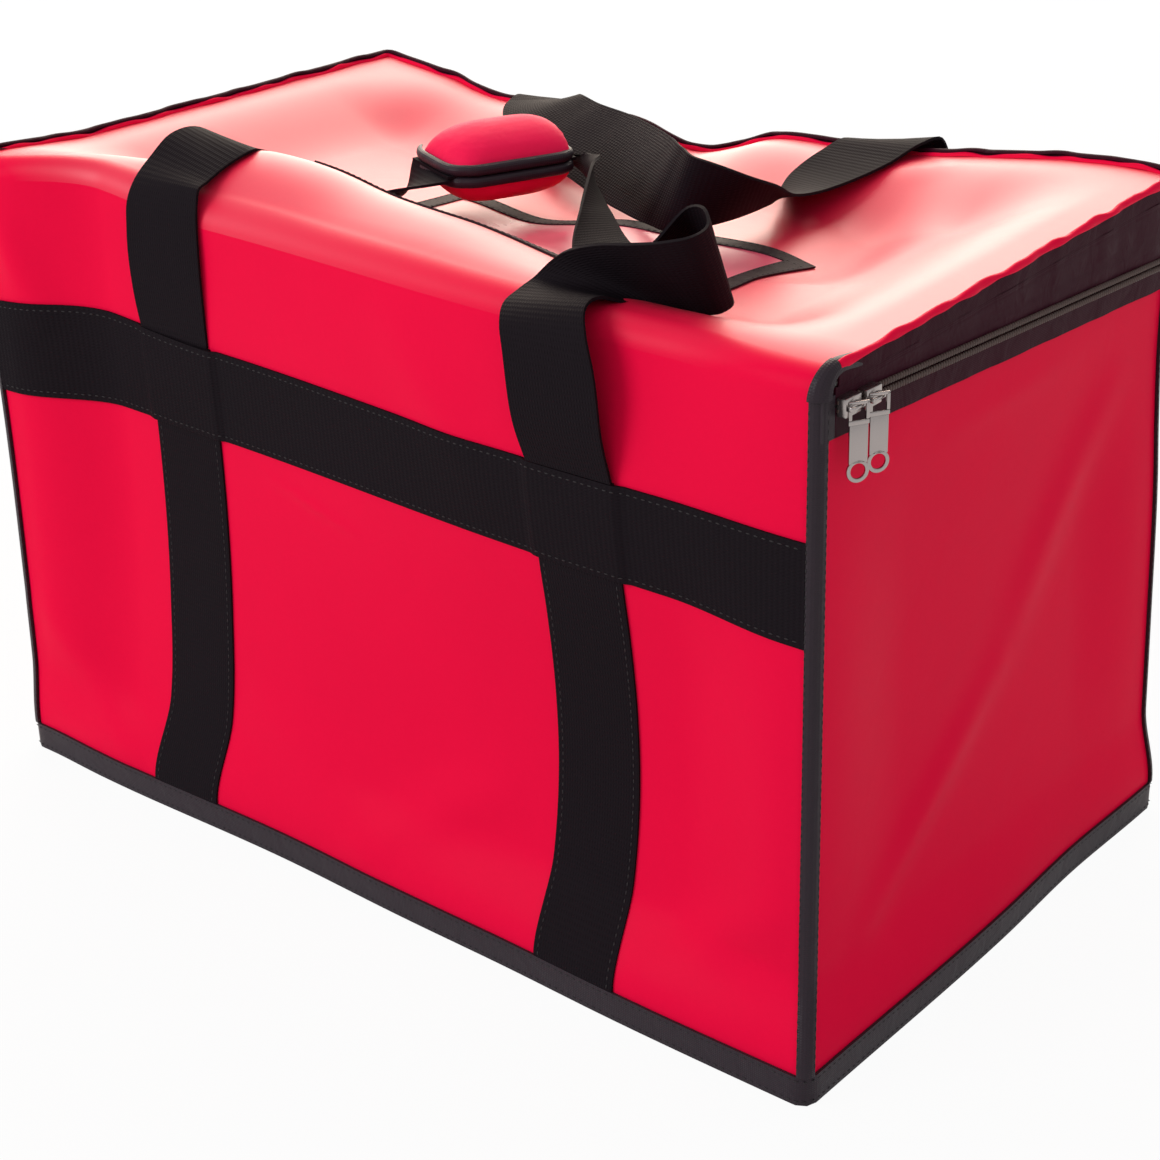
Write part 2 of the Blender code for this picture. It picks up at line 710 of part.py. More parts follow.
def path_frames(table):
    centres, widths = [], []
    for x, y, rise, yaw, roll in table:
        centres.append(
            Vector((x * half_x, y * half_y, BAG_HEIGHT + LEG_GAP + rise * HANDLE_RISE))
        )
        turn, tilt = math.radians(yaw), math.radians(roll)
        flat = math.cos(tilt)
        widths.append(
            Vector((math.cos(turn) * flat, math.sin(turn) * flat, math.sin(tilt)))
        )
    return centres, widths


def rear_piece(name, first, last):
    centres, widths = path_frames(REAR_HANDLE_SHARES)
    normals = path_normals(centres, widths)
    centres, widths = centres[first : last + 1], widths[first : last + 1]
    if first > 0:
        centres[0] += (centres[1] - centres[0]).normalized() * JOIN_GAP / 2
    if last < len(REAR_HANDLE_SHARES) - 1:
        centres[-1] += (centres[-2] - centres[-1]).normalized() * JOIN_GAP / 2
    ribbon(name, centres, widths, normals[first : last + 1], webbing_black)


rear_piece("handle_rear_left", 0, REAR_LEFT_LEG_END)
rear_piece("handle_rear_middle", REAR_LEFT_LEG_END, REAR_RIGHT_LEG_START)
rear_piece("handle_rear_right", REAR_RIGHT_LEG_START, len(REAR_HANDLE_SHARES) - 1)

# Front handle: legs from the front top edge to the grip, and the run inside the grip
grip_frame = Matrix.Translation((GRIP_CENTRE_X, GRIP_CENTRE_Y, BAG_HEIGHT - GRIP_DEPTH)) @ Matrix.Rotation(
    GRIP_YAW, 4, "Z"
)
half_grip = GRIP_LENGTH / 2
grip_across = (grip_frame.to_3x3() @ Vector((1, 0, 0))).normalized()


def lens_height(u):
    share = u / GRIP_HALF_WIDTH
    return GRIP_HALF_HEIGHT * (1 - share * share) + GRIP_MOUTH_GAP


def grip_floor(u):
    below = lens_height(u) - 2 * LAYER_GAP - FASTENER_THICKNESS
    return WEBBING_THICKNESS / 2 - below


def front_leg(name, table, grip_sign):
    centres, widths = path_frames(table)
    end = grip_frame @ Vector((0, grip_sign * (half_grip + JOIN_GAP), 0))
    centres.append(unsoften(end))
    widths.append(grip_across)
    normals = path_normals(centres, widths)
    last = len(centres) - 1
    way = math.copysign(1, normals[last - 1].z)

    def point_at(i, j, side):
        across = (j - 1) * half_strap
        off = (side - 0.5) * WEBBING_THICKNESS
        if i == last:
            height = Vector((0, 0, grip_floor(across) + way * off))
            return unsoften(end + grip_across * across + height)
        return centres[i] + widths[i] * across + normals[i] * off

    grid_solid(name, point_at, len(centres), 3, webbing_black)


front_leg("handle_front_left", FRONT_LEFT_LEG_SHARES, -1)
front_leg("handle_front_right", FRONT_RIGHT_LEG_SHARES, 1)

# Document window on the lid
frame_xs = stations(lid_x_marks, WINDOW_LEFT, WINDOW_RIGHT)
frame_ys = stations(lid_y_marks, WINDOW_FRONT, WINDOW_BACK)


def in_border(i, j):
    middle_x = (frame_xs[i] + frame_xs[i + 1]) / 2
    middle_y = (frame_ys[j] + frame_ys[j + 1]) / 2
    inside_x = WINDOW_LEFT + WINDOW_BORDER < middle_x < WINDOW_RIGHT - WINDOW_BORDER
    inside_y = WINDOW_FRONT + WINDOW_BORDER < middle_y < WINDOW_BACK - WINDOW_BORDER
    return not (inside_x and inside_y)


border_far = LAYER_GAP + WINDOW_BORDER_THICKNESS
slab(
    "window_frame", on_top, frame_xs, frame_ys, LAYER_GAP, border_far,
    binding_black, in_border,
)
film_edge = WINDOW_BORDER + LAYER_GAP
film_xs = stations(lid_x_marks, WINDOW_LEFT + film_edge, WINDOW_RIGHT - film_edge)
film_ys = stations(lid_y_marks, WINDOW_FRONT + film_edge, WINDOW_BACK - film_edge)
film_far = LAYER_GAP + WINDOW_FILM
slab("window_film", on_top, film_xs, film_ys, LAYER_GAP, film_far, film_clear)

# Grip wrap round the middle of the front handle
lobe_us = sorted(
    {-GRIP_HALF_WIDTH + s * GRIP_HALF_WIDTH / 4 for s in range(8)}
    | {GRIP_HALF_WIDTH - GRIP_BINDING, GRIP_HALF_WIDTH}
)
lobe_vs = [-half_grip, -half_grip + GRIP_BINDING, 0.0, half_grip - GRIP_BINDING, half_grip]


def lobe(name, side_sign, us, vs, near, far, material, keep=None):
    def point_at(i, j, side):
        height = lens_height(us[i]) + (far if side else near)
        return grip_frame @ Vector((us[i], vs[j], side_sign * height))

    return grid_solid(name, point_at, len(us), len(vs), material, keep, warp=False)


def inset(values, low, high):
    inner = [v for v in values if low < v < high]
    return [low] + inner + [high]


def on_rim(i, j):
    return i == len(lobe_us) - 2 or j in (0, len(lobe_vs) - 2)


pad_us = inset(lobe_us, -GRIP_HALF_WIDTH, GRIP_HALF_WIDTH - GRIP_BINDING - LAYER_GAP)
pad_reach = half_grip - GRIP_BINDING - LAYER_GAP
pad_vs = [-pad_reach, 0.0, pad_reach]
for pad_name, side_sign in (("grip_pad", -1), ("grip_flap", 1)):
    lobe(pad_name, side_sign, pad_us, pad_vs, 0, GRIP_PAD_THICKNESS, grip_red)
    rim_name = f"{pad_name}_binding"
    lobe(rim_name, side_sign, lobe_us, lobe_vs, 0, GRIP_PAD_THICKNESS, binding_black, on_rim)
fastener_us = [GRIP_HALF_WIDTH / 2, GRIP_HALF_WIDTH * 2 / 3]
fastener_vs = [-FASTENER_LENGTH / 2, FASTENER_LENGTH / 2]
fastener_far = -LAYER_GAP
fastener_near = fastener_far - FASTENER_THICKNESS
for strip_name, side_sign in (("grip_loop_strip", -1), ("grip_hook_strip", 1)):
    lobe(
        strip_name, side_sign, fastener_us, fastener_vs, fastener_near, fastener_far,
        fastener_black,
    )

middle_us = both_sides([0.0, half_strap / 3, half_strap * 2 / 3, half_strap])
middle_vs = [-half_grip, 0.0, half_grip]


def middle_point(i, j, side):
    off = (side - 0.5) * WEBBING_THICKNESS
    return grip_frame @ Vector((middle_us[i], middle_vs[j], grip_floor(middle_us[i]) + off))


grid_solid(
    "handle_front_middle", middle_point, len(middle_us), len(middle_vs), webbing_black,
    warp=False,
)

# Sliders and pulls at the front end of the right edge
slot_front = soften((half_x, FRONT_SLIDER_Y, zip_z))
slot_back = soften((half_x, half_y - CORNER_REACH, zip_z))
slide_way = (slot_back - slot_front).normalized()
slide_side = Vector((1, 0, 0))
slide_side = (slide_side - slide_way * slide_side.dot(slide_way)).normalized()
slide_up = slide_side.cross(slide_way)
plate_near = teeth_far + LAYER_GAP
plate_far = plate_near + SLIDER_PLATE
bar_out = plate_far + BAIL_REACH


def slider_frame(y):
    origin = soften((half_x, y, zip_z))
    axes = Matrix((slide_side, slide_way, slide_up)).transposed()
    return Matrix.Translation(origin) @ axes.to_4x4()


def local_box(name, frame, low, high):
    corners = [
        frame @ Vector((x, y, z))
        for x in (low[0], high[0]) for y in (low[1], high[1]) for z in (low[2], high[2])
    ]
    faces = [(0, 1, 3, 2), (4, 6, 7, 5), (0, 4, 5, 1), (2, 3, 7, 6), (0, 2, 6, 4), (1, 5, 7, 3)]
    return solid(name, corners, faces, zip_steel, warp=False)


def local_rod(name, frame, radius, length):
    work = bmesh.new()
    bmesh.ops.create_cone(
        work, cap_ends=True, segments=ROUND_SEGMENTS, radius1=radius, radius2=radius, depth=length
    )
    bmesh.ops.transform(work, matrix=frame, verts=work.verts)
    mesh = bpy.data.meshes.new(name)
    work.to_mesh(mesh)
    work.free()
    return add_object(name, mesh, zip_steel)


def combine(base, tools):
    for tool, operation in tools:
        step = base.modifiers.new(operation, "BOOLEAN")
        step.operation = operation
        step.solver = "EXACT"
        step.object = tool
    bpy.context.view_layer.update()
    shaped = base.evaluated_get(bpy.context.evaluated_depsgraph_get())
    mesh = bpy.data.meshes.new_from_object(shaped)
    base.modifiers.clear()
    base.data = mesh
    for tool, _ in tools:
        bpy.data.objects.remove(tool, do_unlink=True)


def build_slider(name, y):
    frame = slider_frame(y)
    half = SLIDER_LENGTH / 2
    tall = SLIDER_HEIGHT / 2
    inner_far = -SLIDER_CLEARANCE
    inner_near = inner_far - SLIDER_PLATE
    body = local_box(name, frame, (plate_near, -half, -tall), (plate_far, half, tall))
    neck_half = SLIDER_NECK / 2
    overlap = SLIDER_PLATE / 2
    neck = local_box(
        "neck", frame, (inner_far - overlap, -half / 2, -neck_half),
        (plate_near + overlap, half / 2, neck_half),
    )
    short = half - BAIL_POST
    inner = local_box("inner", frame, (inner_near, -short, -tall), (inner_far, short, tall))
    post_out = bar_out + BAIL_POST / 2
    posts = [
        local_box(
            "post", frame, (plate_far - overlap, low, -BAIL_POST / 2),
            (post_out, low + BAIL_POST, BAIL_POST / 2),
        )
        for low in (-half, half - BAIL_POST)
    ]
    along = Matrix.Translation((bar_out, 0, 0)) @ Matrix.Rotation(math.pi / 2, 4, "X")
    bar = local_rod("bar", frame @ along, BAIL_RADIUS, SLIDER_LENGTH - BAIL_POST)
    combine(body, [(part, "UNION") for part in (neck, inner, *posts, bar)])


def build_pull(name, y):
    frame = slider_frame(y) @ Matrix.Translation((bar_out, 0, 0))
    along = frame @ Matrix.Rotation(math.pi / 2, 4, "X")
    eye = local_rod(name, along, EYE_RADIUS, EYE_LENGTH)
    hang = Matrix.Translation(frame.to_translation()) @ Matrix.Rotation(-PULL_YAW, 4, "Z")
    half = PULL_WIDTH / 2
    thin = PULL_THICKNESS / 2
    top = -(EYE_BORE + EYE_RADIUS) / 2
    plate = local_box("plate", hang, (-thin, -half, -PULL_LENGTH), (thin, half, top))
    hole_turn = Matrix.Translation((0, 0, PULL_HOLE_INSET - PULL_LENGTH)) @ Matrix.Rotation(
        math.pi / 2, 4, "Y"
    )
    hole = local_rod("hole", hang @ hole_turn, PULL_HOLE_RADIUS, PULL_WIDTH)
    bore = local_rod("bore", along, EYE_BORE, PULL_WIDTH * 2)
    combine(eye, [(plate, "UNION"), (hole, "DIFFERENCE"), (bore, "DIFFERENCE")])


for place_name, slider_y in (("front", FRONT_SLIDER_Y), ("rear", REAR_SLIDER_Y)):
    build_slider(f"slider_{place_name}", slider_y)
    build_pull(f"pull_{place_name}", slider_y)


def hang_on(axis_name, place, nodes):
    axis = bpy.data.objects.new(axis_name, None)
    axis.location = place
    bpy.context.scene.collection.objects.link(axis)
    for node in nodes:
        piece = bpy.data.objects[node]
        piece.parent = axis
        piece.matrix_parent_inverse = Matrix.Translation(place).inverted()


# Moving groups hang on empties that stand on their turning or sliding lines
lid_axis_place = Vector((0, -half_y + LID_AXIS_INSET, BAG_HEIGHT - LID_AXIS_DEPTH))
rear_axis_place = Vector((0, half_y, BAG_HEIGHT - REAR_AXIS_DEPTH))
spine_place = grip_frame @ Vector((-GRIP_HALF_WIDTH, 0, 0))
hang_on(
    "lid_axis", lid_axis_place,
    ["lid_cover", "foam_lid", "liner_lid", "lid_binding", "zip_tape_upper",
     "zip_teeth_upper", "window_frame", "window_film"],
)
hang_on(
    "front_handle_axis", lid_axis_place,
    ["handle_front_left", "handle_front_middle", "handle_front_right", "grip_pad",
     "grip_pad_binding", "grip_loop_strip"],
)
hang_on("grip_spine_axis", spine_place, ["grip_flap", "grip_flap_binding", "grip_hook_strip"])
hang_on(
    "rear_handle_axis", rear_axis_place,
    ["rear_turn_left", "rear_turn_right", "handle_rear_left", "handle_rear_middle",
     "handle_rear_right"],
)
for place_name, slider_y in (("front", FRONT_SLIDER_Y), ("rear", REAR_SLIDER_Y)):
    slot_place = slider_frame(slider_y).to_translation()
    pull_place = slider_frame(slider_y) @ Vector((bar_out, 0, 0))
    hang_on(f"slider_{place_name}_line", slot_place, [f"slider_{place_name}"])
    hang_on(f"pull_{place_name}_axis", pull_place, [f"pull_{place_name}"])
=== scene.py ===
import math

import bmesh
import bpy
import numpy as np
from mathutils import Matrix, Vector


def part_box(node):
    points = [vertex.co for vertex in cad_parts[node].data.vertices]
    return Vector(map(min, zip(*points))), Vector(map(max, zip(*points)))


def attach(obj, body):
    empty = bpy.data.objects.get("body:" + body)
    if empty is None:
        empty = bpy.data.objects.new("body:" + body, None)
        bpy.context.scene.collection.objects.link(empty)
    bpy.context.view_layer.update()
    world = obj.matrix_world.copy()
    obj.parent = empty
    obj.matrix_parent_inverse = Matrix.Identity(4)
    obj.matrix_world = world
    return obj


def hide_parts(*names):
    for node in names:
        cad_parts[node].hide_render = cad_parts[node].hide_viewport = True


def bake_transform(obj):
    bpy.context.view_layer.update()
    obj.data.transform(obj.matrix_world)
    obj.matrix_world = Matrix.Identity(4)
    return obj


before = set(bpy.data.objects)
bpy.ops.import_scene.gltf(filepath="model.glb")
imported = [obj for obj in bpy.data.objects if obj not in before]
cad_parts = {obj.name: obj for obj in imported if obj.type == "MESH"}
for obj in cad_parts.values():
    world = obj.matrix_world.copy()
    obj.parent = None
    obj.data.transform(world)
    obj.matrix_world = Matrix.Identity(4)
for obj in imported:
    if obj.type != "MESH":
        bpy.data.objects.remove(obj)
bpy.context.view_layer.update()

print("frame loaded")

# The sewn bag at rest: sizes in metres, depths are below the top edge
bag = {
    "length": 0.560, "width": 0.335, "height": 0.355,
    "layerGap": 0.0003, "cover": 0.0012, "foam": 0.009, "liner": 0.0008, "board": 0.002,
    "webWidth": 0.050, "webThick": 0.0015, "strapSpacing": 0.284, "bandDrop": 0.077,
    "baseTape": 0.016, "cornerTape": 0.0045, "hingeFold": 0.012, "lidTape": 0.009,
    "upperTapeTop": 0.0093, "zipDepth": 0.0166, "zipSlot": 0.0014, "wallDepth": 0.031,
    "tapeStart": 0.0103,
}
# How far the soft shape is moved off the plain box
slump = {
    "cornerReach": 0.016, "faceFade": 0.085, "wallZone": 0.014,
    "frontSink": 0.021, "backSink": 0.013, "endSink": 0.006,
    "leftLean": 0.005, "rightLean": 0.004, "rearLean": 0.012,
    "frontFlare": 0.015, "rightFlare": 0.009, "flareStart": 0.017, "flareEnd": 0.060,
    "rearSag": 0.027, "lidDish": 0.019, "cornerRise": 0.027, "cornerRiseStart": 0.23,
    "skirtTop": 0.0118, "skirtEnd": 0.0133, "sagFull": 0.040, "sagEnd": 0.150,
    "foldPast": 0.050, "lidFoldPast": 0.060, "foldLow": 0.030, "foldTop": 0.020,
    "foldEndShare": 0.1,
}
# Shares of the moves above, against the share along the height or the edge
frontLeftShares = (
    (0.00, 0.00), (0.05, 0.00), (0.18, 0.57), (0.35, 0.86), (0.67, 1.00),
    (0.84, 0.95), (0.93, 1.00), (1.00, 1.05),
)
frontRightShares = (
    (0.00, 0.00), (0.05, 0.00), (0.18, 0.60), (0.30, 0.86), (0.43, 0.84),
    (0.55, 0.62), (0.64, 0.38), (0.78, 0.14), (0.90, 0.18), (1.00, 0.35),
)
backShares = (
    (0.00, 0.00), (0.05, 0.00), (0.18, 0.60), (0.35, 0.90), (0.67, 1.00),
    (0.84, 0.60), (0.93, 0.20), (1.00, 0.00),
)
endShares = (
    (0.00, 0.00), (0.05, 0.00), (0.25, 0.70), (0.50, 1.00), (0.75, 0.50),
    (0.88, 0.00), (1.00, 0.00),
)
leftLeanShares = (
    (0.00, 0.00), (0.05, 0.00), (0.30, 0.60), (0.60, 1.00), (0.85, 0.50), (1.00, 0.20),
)
rightLeanShares = (
    (0.00, 0.00), (0.05, 0.00), (0.20, 0.14), (0.35, 0.30), (0.52, 0.50),
    (0.67, 0.80), (0.80, 1.00), (1.00, 1.00),
)
rearSagShares = (
    (-1.00, 0.07), (-0.83, 0.30), (-0.66, 0.63), (-0.46, 0.63), (-0.26, 0.67),
    (-0.10, 1.00), (0.00, 0.74), (0.08, 0.45), (0.27, 0.33), (0.52, 0.41),
    (0.82, 0.56), (1.00, 0.67),
)
frontFlareShares = (
    (-1.00, 0.20), (-0.94, 0.20), (-0.80, 0.32), (-0.20, 0.32), (0.10, 0.55), (0.35, 0.66),
    (0.60, 0.85), (0.94, 0.92), (1.00, 0.92),
)
rightFlareShares = (
    (-1.00, 1.00), (-0.89, 1.00), (0.00, 0.95), (0.45, 0.60), (0.89, 0.70), (1.00, 0.70),
)
# Raised places: x and y share, reach left, right, to the front and back, height in metres
raised = (
    (-0.80, -0.95, 0.40, 0.40, 0.50, 0.50, 0.010),
    (-0.40, -0.62, 0.42, 0.94, 0.40, 0.40, 0.033),
    (0.26, -0.62, 0.45, 0.36, 0.38, 0.36, 0.006),
)
# Soft folds: face, both ends on it in metres, reach to each side, height outwards
folds = (
    ("front", (-0.262, 0.100), (-0.190, 0.024), 0.016, 0.0035),
    ("front", (-0.100, 0.070), (0.010, 0.040), 0.022, 0.0040),
    ("front", (-0.010, 0.030), (0.085, 0.085), 0.016, 0.0030),
    ("front", (-0.080, 0.215), (-0.015, 0.200), 0.0035, 0.0009),
    ("front", (0.185, 0.030), (0.262, 0.090), 0.014, 0.0030),
    ("front", (-0.270, 0.345), (-0.235, 0.270), 0.013, 0.0035),
    ("front", (0.020, 0.330), (0.090, 0.250), 0.020, 0.0020),
    ("end", (-0.120, 0.060), (0.010, 0.150), 0.012, 0.0030),
    ("end", (0.010, 0.150), (0.120, 0.285), 0.016, 0.0026),
    ("end", (-0.060, 0.300), (0.070, 0.312), 0.010, 0.0012),
    ("back", (-0.150, 0.060), (0.060, 0.180), 0.020, 0.0030),
    ("back", (0.080, 0.240), (0.220, 0.150), 0.018, 0.0026),
    ("left", (-0.100, 0.240), (0.090, 0.100), 0.018, 0.0030),
    ("lid", (-0.240, 0.110), (-0.120, -0.060), 0.030, 0.0014),
    ("lid", (-0.150, 0.060), (-0.090, 0.140), 0.020, 0.0010),
    ("lid", (0.190, -0.020), (0.250, 0.100), 0.026, 0.0008),
    ("lid", (0.140, 0.122), (0.172, -0.010), 0.026, -0.0115),
)

halfX = bag["length"] / 2 - bag["webThick"] - bag["layerGap"]
halfY = bag["width"] / 2 - bag["webThick"] - bag["layerGap"]
halfWeb = bag["webWidth"] / 2
strapX = bag["strapSpacing"] / 2
bandTop = bag["height"] - bag["bandDrop"]
bandLow = bandTop - bag["webWidth"]
foamNear = bag["cover"] + bag["layerGap"]
foamFar = foamNear + bag["foam"]
linerNear = foamFar + bag["layerGap"]
linerFar = linerNear + bag["liner"]
boardLow = foamFar + bag["layerGap"]
tubLow = boardLow + bag["board"] + bag["layerGap"]
frontTop = bag["height"] - bag["hingeFold"] - bag["layerGap"]
wallTop = bag["height"] - bag["wallDepth"]
lidFront = -halfY + bag["hingeFold"] + bag["layerGap"]
lidBack = halfY - bag["layerGap"]
zipZ = bag["height"] - bag["zipDepth"]
tapeOut = bag["layerGap"] + bag["webThick"]


def smoothStep(value):
    t = np.clip(value, 0.0, 1.0)
    return t * t * (3 - 2 * t)


def curveAt(shares, place):
    knots, values = np.array(shares).T
    slopes = np.gradient(values, knots)
    place = np.clip(place, knots[0], knots[-1])
    left = np.clip(np.searchsorted(knots, place) - 1, 0, len(knots) - 2)
    span = knots[left + 1] - knots[left]
    t = (place - knots[left]) / span
    rise = values[left + 1] - values[left]
    bend = t * (1 - t)
    lean = slopes[left] * span * bend * (1 - t) - slopes[left + 1] * span * bend * t
    return values[left] + rise * t * t * (3 - 2 * t) + lean


def edgeFade(value, half):
    reach = slump["cornerReach"]
    return smoothStep((half - reach - np.abs(value)) / (slump["faceFade"] - reach))


def nearShare(value, half):
    return np.clip(value / (half - slump["wallZone"]), 0, 1)


def raisedEdges(x, y):
    rise = 0
    for placeX, placeY, left, right, near, far, height in raised:
        awayX, awayY = x / halfX - placeX, y / halfY - placeY
        awayX = np.clip(np.abs(awayX) / np.where(awayX < 0, left, right), 0, 1)
        awayY = np.clip(np.abs(awayY) / np.where(awayY < 0, near, far), 0, 1)
        rise = rise + height * (1 + np.cos(math.pi * awayX)) * (1 + np.cos(math.pi * awayY)) / 4
    return rise


def topDrop(x, y):
    v = np.clip((y + halfY) / (2 * halfY), 0, 1)
    rear = curveAt(rearSagShares, x / halfX) * slump["rearSag"]
    dish = slump["lidDish"] * edgeFade(x, halfX) * edgeFade(y, halfY)
    past = slump["lidFoldPast"]
    creased = foldRise("lid", x, y) * edgeFade(x, halfX + past) * edgeFade(y, halfY + past)
    return v * rear + dish - raisedEdges(x, y) - creased


def foldRise(face, a, b):
    rise, endShare = 0, slump["foldEndShare"]
    for name, start, end, reach, height in folds:
        if name != face:
            continue
        start, way = np.array(start), np.array(end) - np.array(start)
        share = ((a - start[0]) * way[0] + (b - start[1]) * way[1]) / way.dot(way)
        held = np.clip(share, 0, 1)
        away = np.hypot(a - start[0] - held * way[0], b - start[1] - held * way[1])
        fade = np.sin(math.pi * np.clip(share * (1 - 2 * endShare) + endShare, 0, 1))
        rise = rise + height * fade * np.exp(-(away / reach) ** 2)
    return rise


def sag(points):
    x, y, z = np.asarray(points, float).reshape(-1, 3).T
    up = z / bag["height"]
    depth = bag["height"] - z
    face = edgeFade(x, halfX)
    mix = smoothStep((x + strapX) / (2 * strapX))
    left = curveAt(frontLeftShares, up)
    right = curveAt(frontRightShares, up)
    front = slump["frontSink"] * face * (left + (right - left) * mix)
    back = slump["backSink"] * face * curveAt(backShares, up)
    end = slump["endSink"] * edgeFade(y, halfY) * curveAt(endShares, up)
    leftEnd = end + slump["leftLean"] * curveAt(leftLeanShares, up)
    v = np.clip((y + halfY) / (2 * halfY), 0, 1)
    lean = curveAt(rightLeanShares, up) * v * np.clip(x, 0, None) / halfX
    low = smoothStep((slump["flareEnd"] - z) / (slump["flareEnd"] - slump["flareStart"]))
    front = front - slump["frontFlare"] * low * curveAt(frontFlareShares, x / halfX)
    end = end - slump["rightFlare"] * low * curveAt(rightFlareShares, y / halfY)
    calmLow = smoothStep(z / slump["foldLow"])
    calm = edgeFade(x, halfX + slump["foldPast"]) * calmLow * smoothStep(depth / slump["foldTop"])
    front = front - foldRise("front", x, z) * calm
    back = back - foldRise("back", x, z) * calm
    calmTop = smoothStep(depth / slump["foldLow"] - 1)
    calm = edgeFade(y, halfY + slump["foldPast"]) * calmLow * calmTop
    leftEnd = leftEnd - foldRise("left", y, z) * calm
    end = end - foldRise("end", y, z) * calm
    movedX = x + leftEnd * nearShare(-x, halfX) - end * nearShare(x, halfX)
    movedY = y + front * nearShare(-y, halfY) - back * nearShare(y, halfY)
    movedX = movedX - slump["rightLean"] * lean
    movedY = movedY - slump["rearLean"] * lean
    sagShare = (slump["sagEnd"] - depth) / (slump["sagEnd"] - slump["sagFull"])
    lift = np.clip((slump["skirtEnd"] - depth) / (slump["skirtEnd"] - slump["skirtTop"]), 0, 1)
    along = np.clip((x / halfX - slump["cornerRiseStart"]) / (1 - slump["cornerRiseStart"]), 0, 1)
    corner = slump["cornerRise"] * smoothStep(along) * v
    movedZ = z - np.clip(sagShare, 0, 1) * topDrop(x, y) + lift * corner
    return np.stack([movedX, movedY, movedZ], axis=1)


def linkPiece(name, work, finish, body):
    mesh = bpy.data.meshes.new(name)
    work.to_mesh(mesh)
    work.free()
    mesh.shade_smooth()
    made = bpy.data.objects.new(name, mesh)
    made.data.materials.append(finish)
    bpy.context.scene.collection.objects.link(made)
    if body:
        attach(made, body)
    return made


def outwardOf(place, u, v, step=0.002):
    across = place(u + step, v) - place(u - step, v)
    along = place(u, v + step) - place(u, v - step)
    normal = np.cross(across, along)
    return normal / np.maximum(np.linalg.norm(normal, axis=1, keepdims=True), 1e-12)


# A grid laid by place(u, v), given its thickness; the CAD nodes it stands for are hidden
def sewnSheet(
    name, place, counts, size, thick, finish, body, *nodes, flip=False, merge=False, held=None,
):
    work = bmesh.new()
    bmesh.ops.create_grid(work, x_segments=counts[0], y_segments=counts[1], size=0.5)
    work.verts.ensure_lookup_table()
    flat = np.array([vert.co[:2] for vert in work.verts]) + 0.5
    spots = place(flat[:, 0], flat[:, 1])
    normals = outwardOf(place, flat[:, 0], flat[:, 1]) * (-1 if flip else 1)
    cloth = work.loops.layers.uv.new("cloth")
    for face in work.faces:
        for loop in face.loops:
            u, v = flat[loop.vert.index]
            loop[cloth].uv = (u * size[0], v * size[1])
    outward = work.verts.layers.float_vector.new("outward")
    for vert, spot, normal in zip(work.verts, spots, normals):
        vert.co = spot
        vert[outward] = normal
    if merge:
        bmesh.ops.remove_doubles(work, verts=work.verts, dist=1e-5)
    if flip:
        bmesh.ops.reverse_faces(work, faces=work.faces)
    work.normal_update()
    if thick:
        bmesh.ops.solidify(work, geom=work.faces[:], thickness=thick)
        work.normal_update()
    loopNormals = []
    for face in work.faces:
        for loop in face.loops:
            even = Vector(loop.vert[outward])
            side = face.normal.dot(even)
            if abs(side) < 0.5:
                even = face.normal
            loopNormals.append(tuple(-even if side < -0.5 else even))
    made = linkPiece(name, work, finish, body)
    made.data.normals_split_custom_set(loopNormals)
    if nodes:
        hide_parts(*nodes)
    return made


# How finely a row is measured, and how far along it a dash looks for its direction
rowSamples, rowAhead = 400, 0.002


# A row of thread dashes or zip teeth on a surface, between two of its (u, v) points
def dashes(name, place, start, end, pitch, size, finish, body, across=False):
    start, end = np.array(start, float), np.array(end, float)
    fine = start + (end - start) * np.linspace(0, 1, rowSamples)[:, None]
    line = place(fine[:, 0], fine[:, 1])
    run = np.concatenate([[0], np.cumsum(np.linalg.norm(np.diff(line, axis=0), axis=1))])
    count = max(int(run[-1] / pitch), 2)
    middles = (np.arange(count) + 0.5) * run[-1] / count
    shares = np.interp(middles, run, np.linspace(0, 1, rowSamples))
    spots = start + (end - start) * shares[:, None]
    centres = place(spots[:, 0], spots[:, 1])
    step = (end - start) / np.linalg.norm(end - start) * rowAhead
    ahead = place(spots[:, 0] + step[0], spots[:, 1] + step[1]) - centres
    ups = outwardOf(place, spots[:, 0], spots[:, 1])
    work = bmesh.new()
    for centre, way, up in zip(centres, ahead, ups):
        up, way = Vector(up), Vector(way).normalized()
        side = up.cross(way)
        if across:
            way, side = side, way
        turn = Matrix((way * size[0], side * size[1], up * size[2])).transposed().to_4x4()
        spot = Matrix.Translation(centre)
        bmesh.ops.create_icosphere(work, subdivisions=1, radius=0.5, matrix=spot @ turn)
    return linkPiece(name, work, finish, body)


def addMaterial(name):
    material = bpy.data.materials.new(name)
    material.use_nodes = True
    nodes, links = material.node_tree.nodes, material.node_tree.links
    return material, nodes, links, nodes["Principled BSDF"]


def noiseNode(nodes, links, vector, scale, detail=3.0, distortion=0.0):
    cloud = nodes.new("ShaderNodeTexNoise")
    cloud.inputs["Scale"].default_value = scale
    cloud.inputs["Detail"].default_value = detail
    cloud.inputs["Distortion"].default_value = distortion
    links.new(vector, cloud.inputs["Vector"])
    return cloud.outputs["Fac"]


def toneNode(nodes, links, factor, colour, spread):
    tone = nodes.new("ShaderNodeMix")
    tone.data_type = "RGBA"
    tone.inputs["A"].default_value = (*(c * (1 - spread) for c in colour), 1)
    tone.inputs["B"].default_value = (*(min(c * (1 + spread), 1) for c in colour), 1)
    links.new(factor, tone.inputs["Factor"])
    return tone.outputs["Result"]


def mathNode(nodes, links, operation, *values):
    step = nodes.new("ShaderNodeMath")
    step.operation = operation
    for socket, value in zip(step.inputs, values):
        if isinstance(value, float):
            socket.default_value = value
        else:
            links.new(value, socket)
    return step.outputs["Value"]


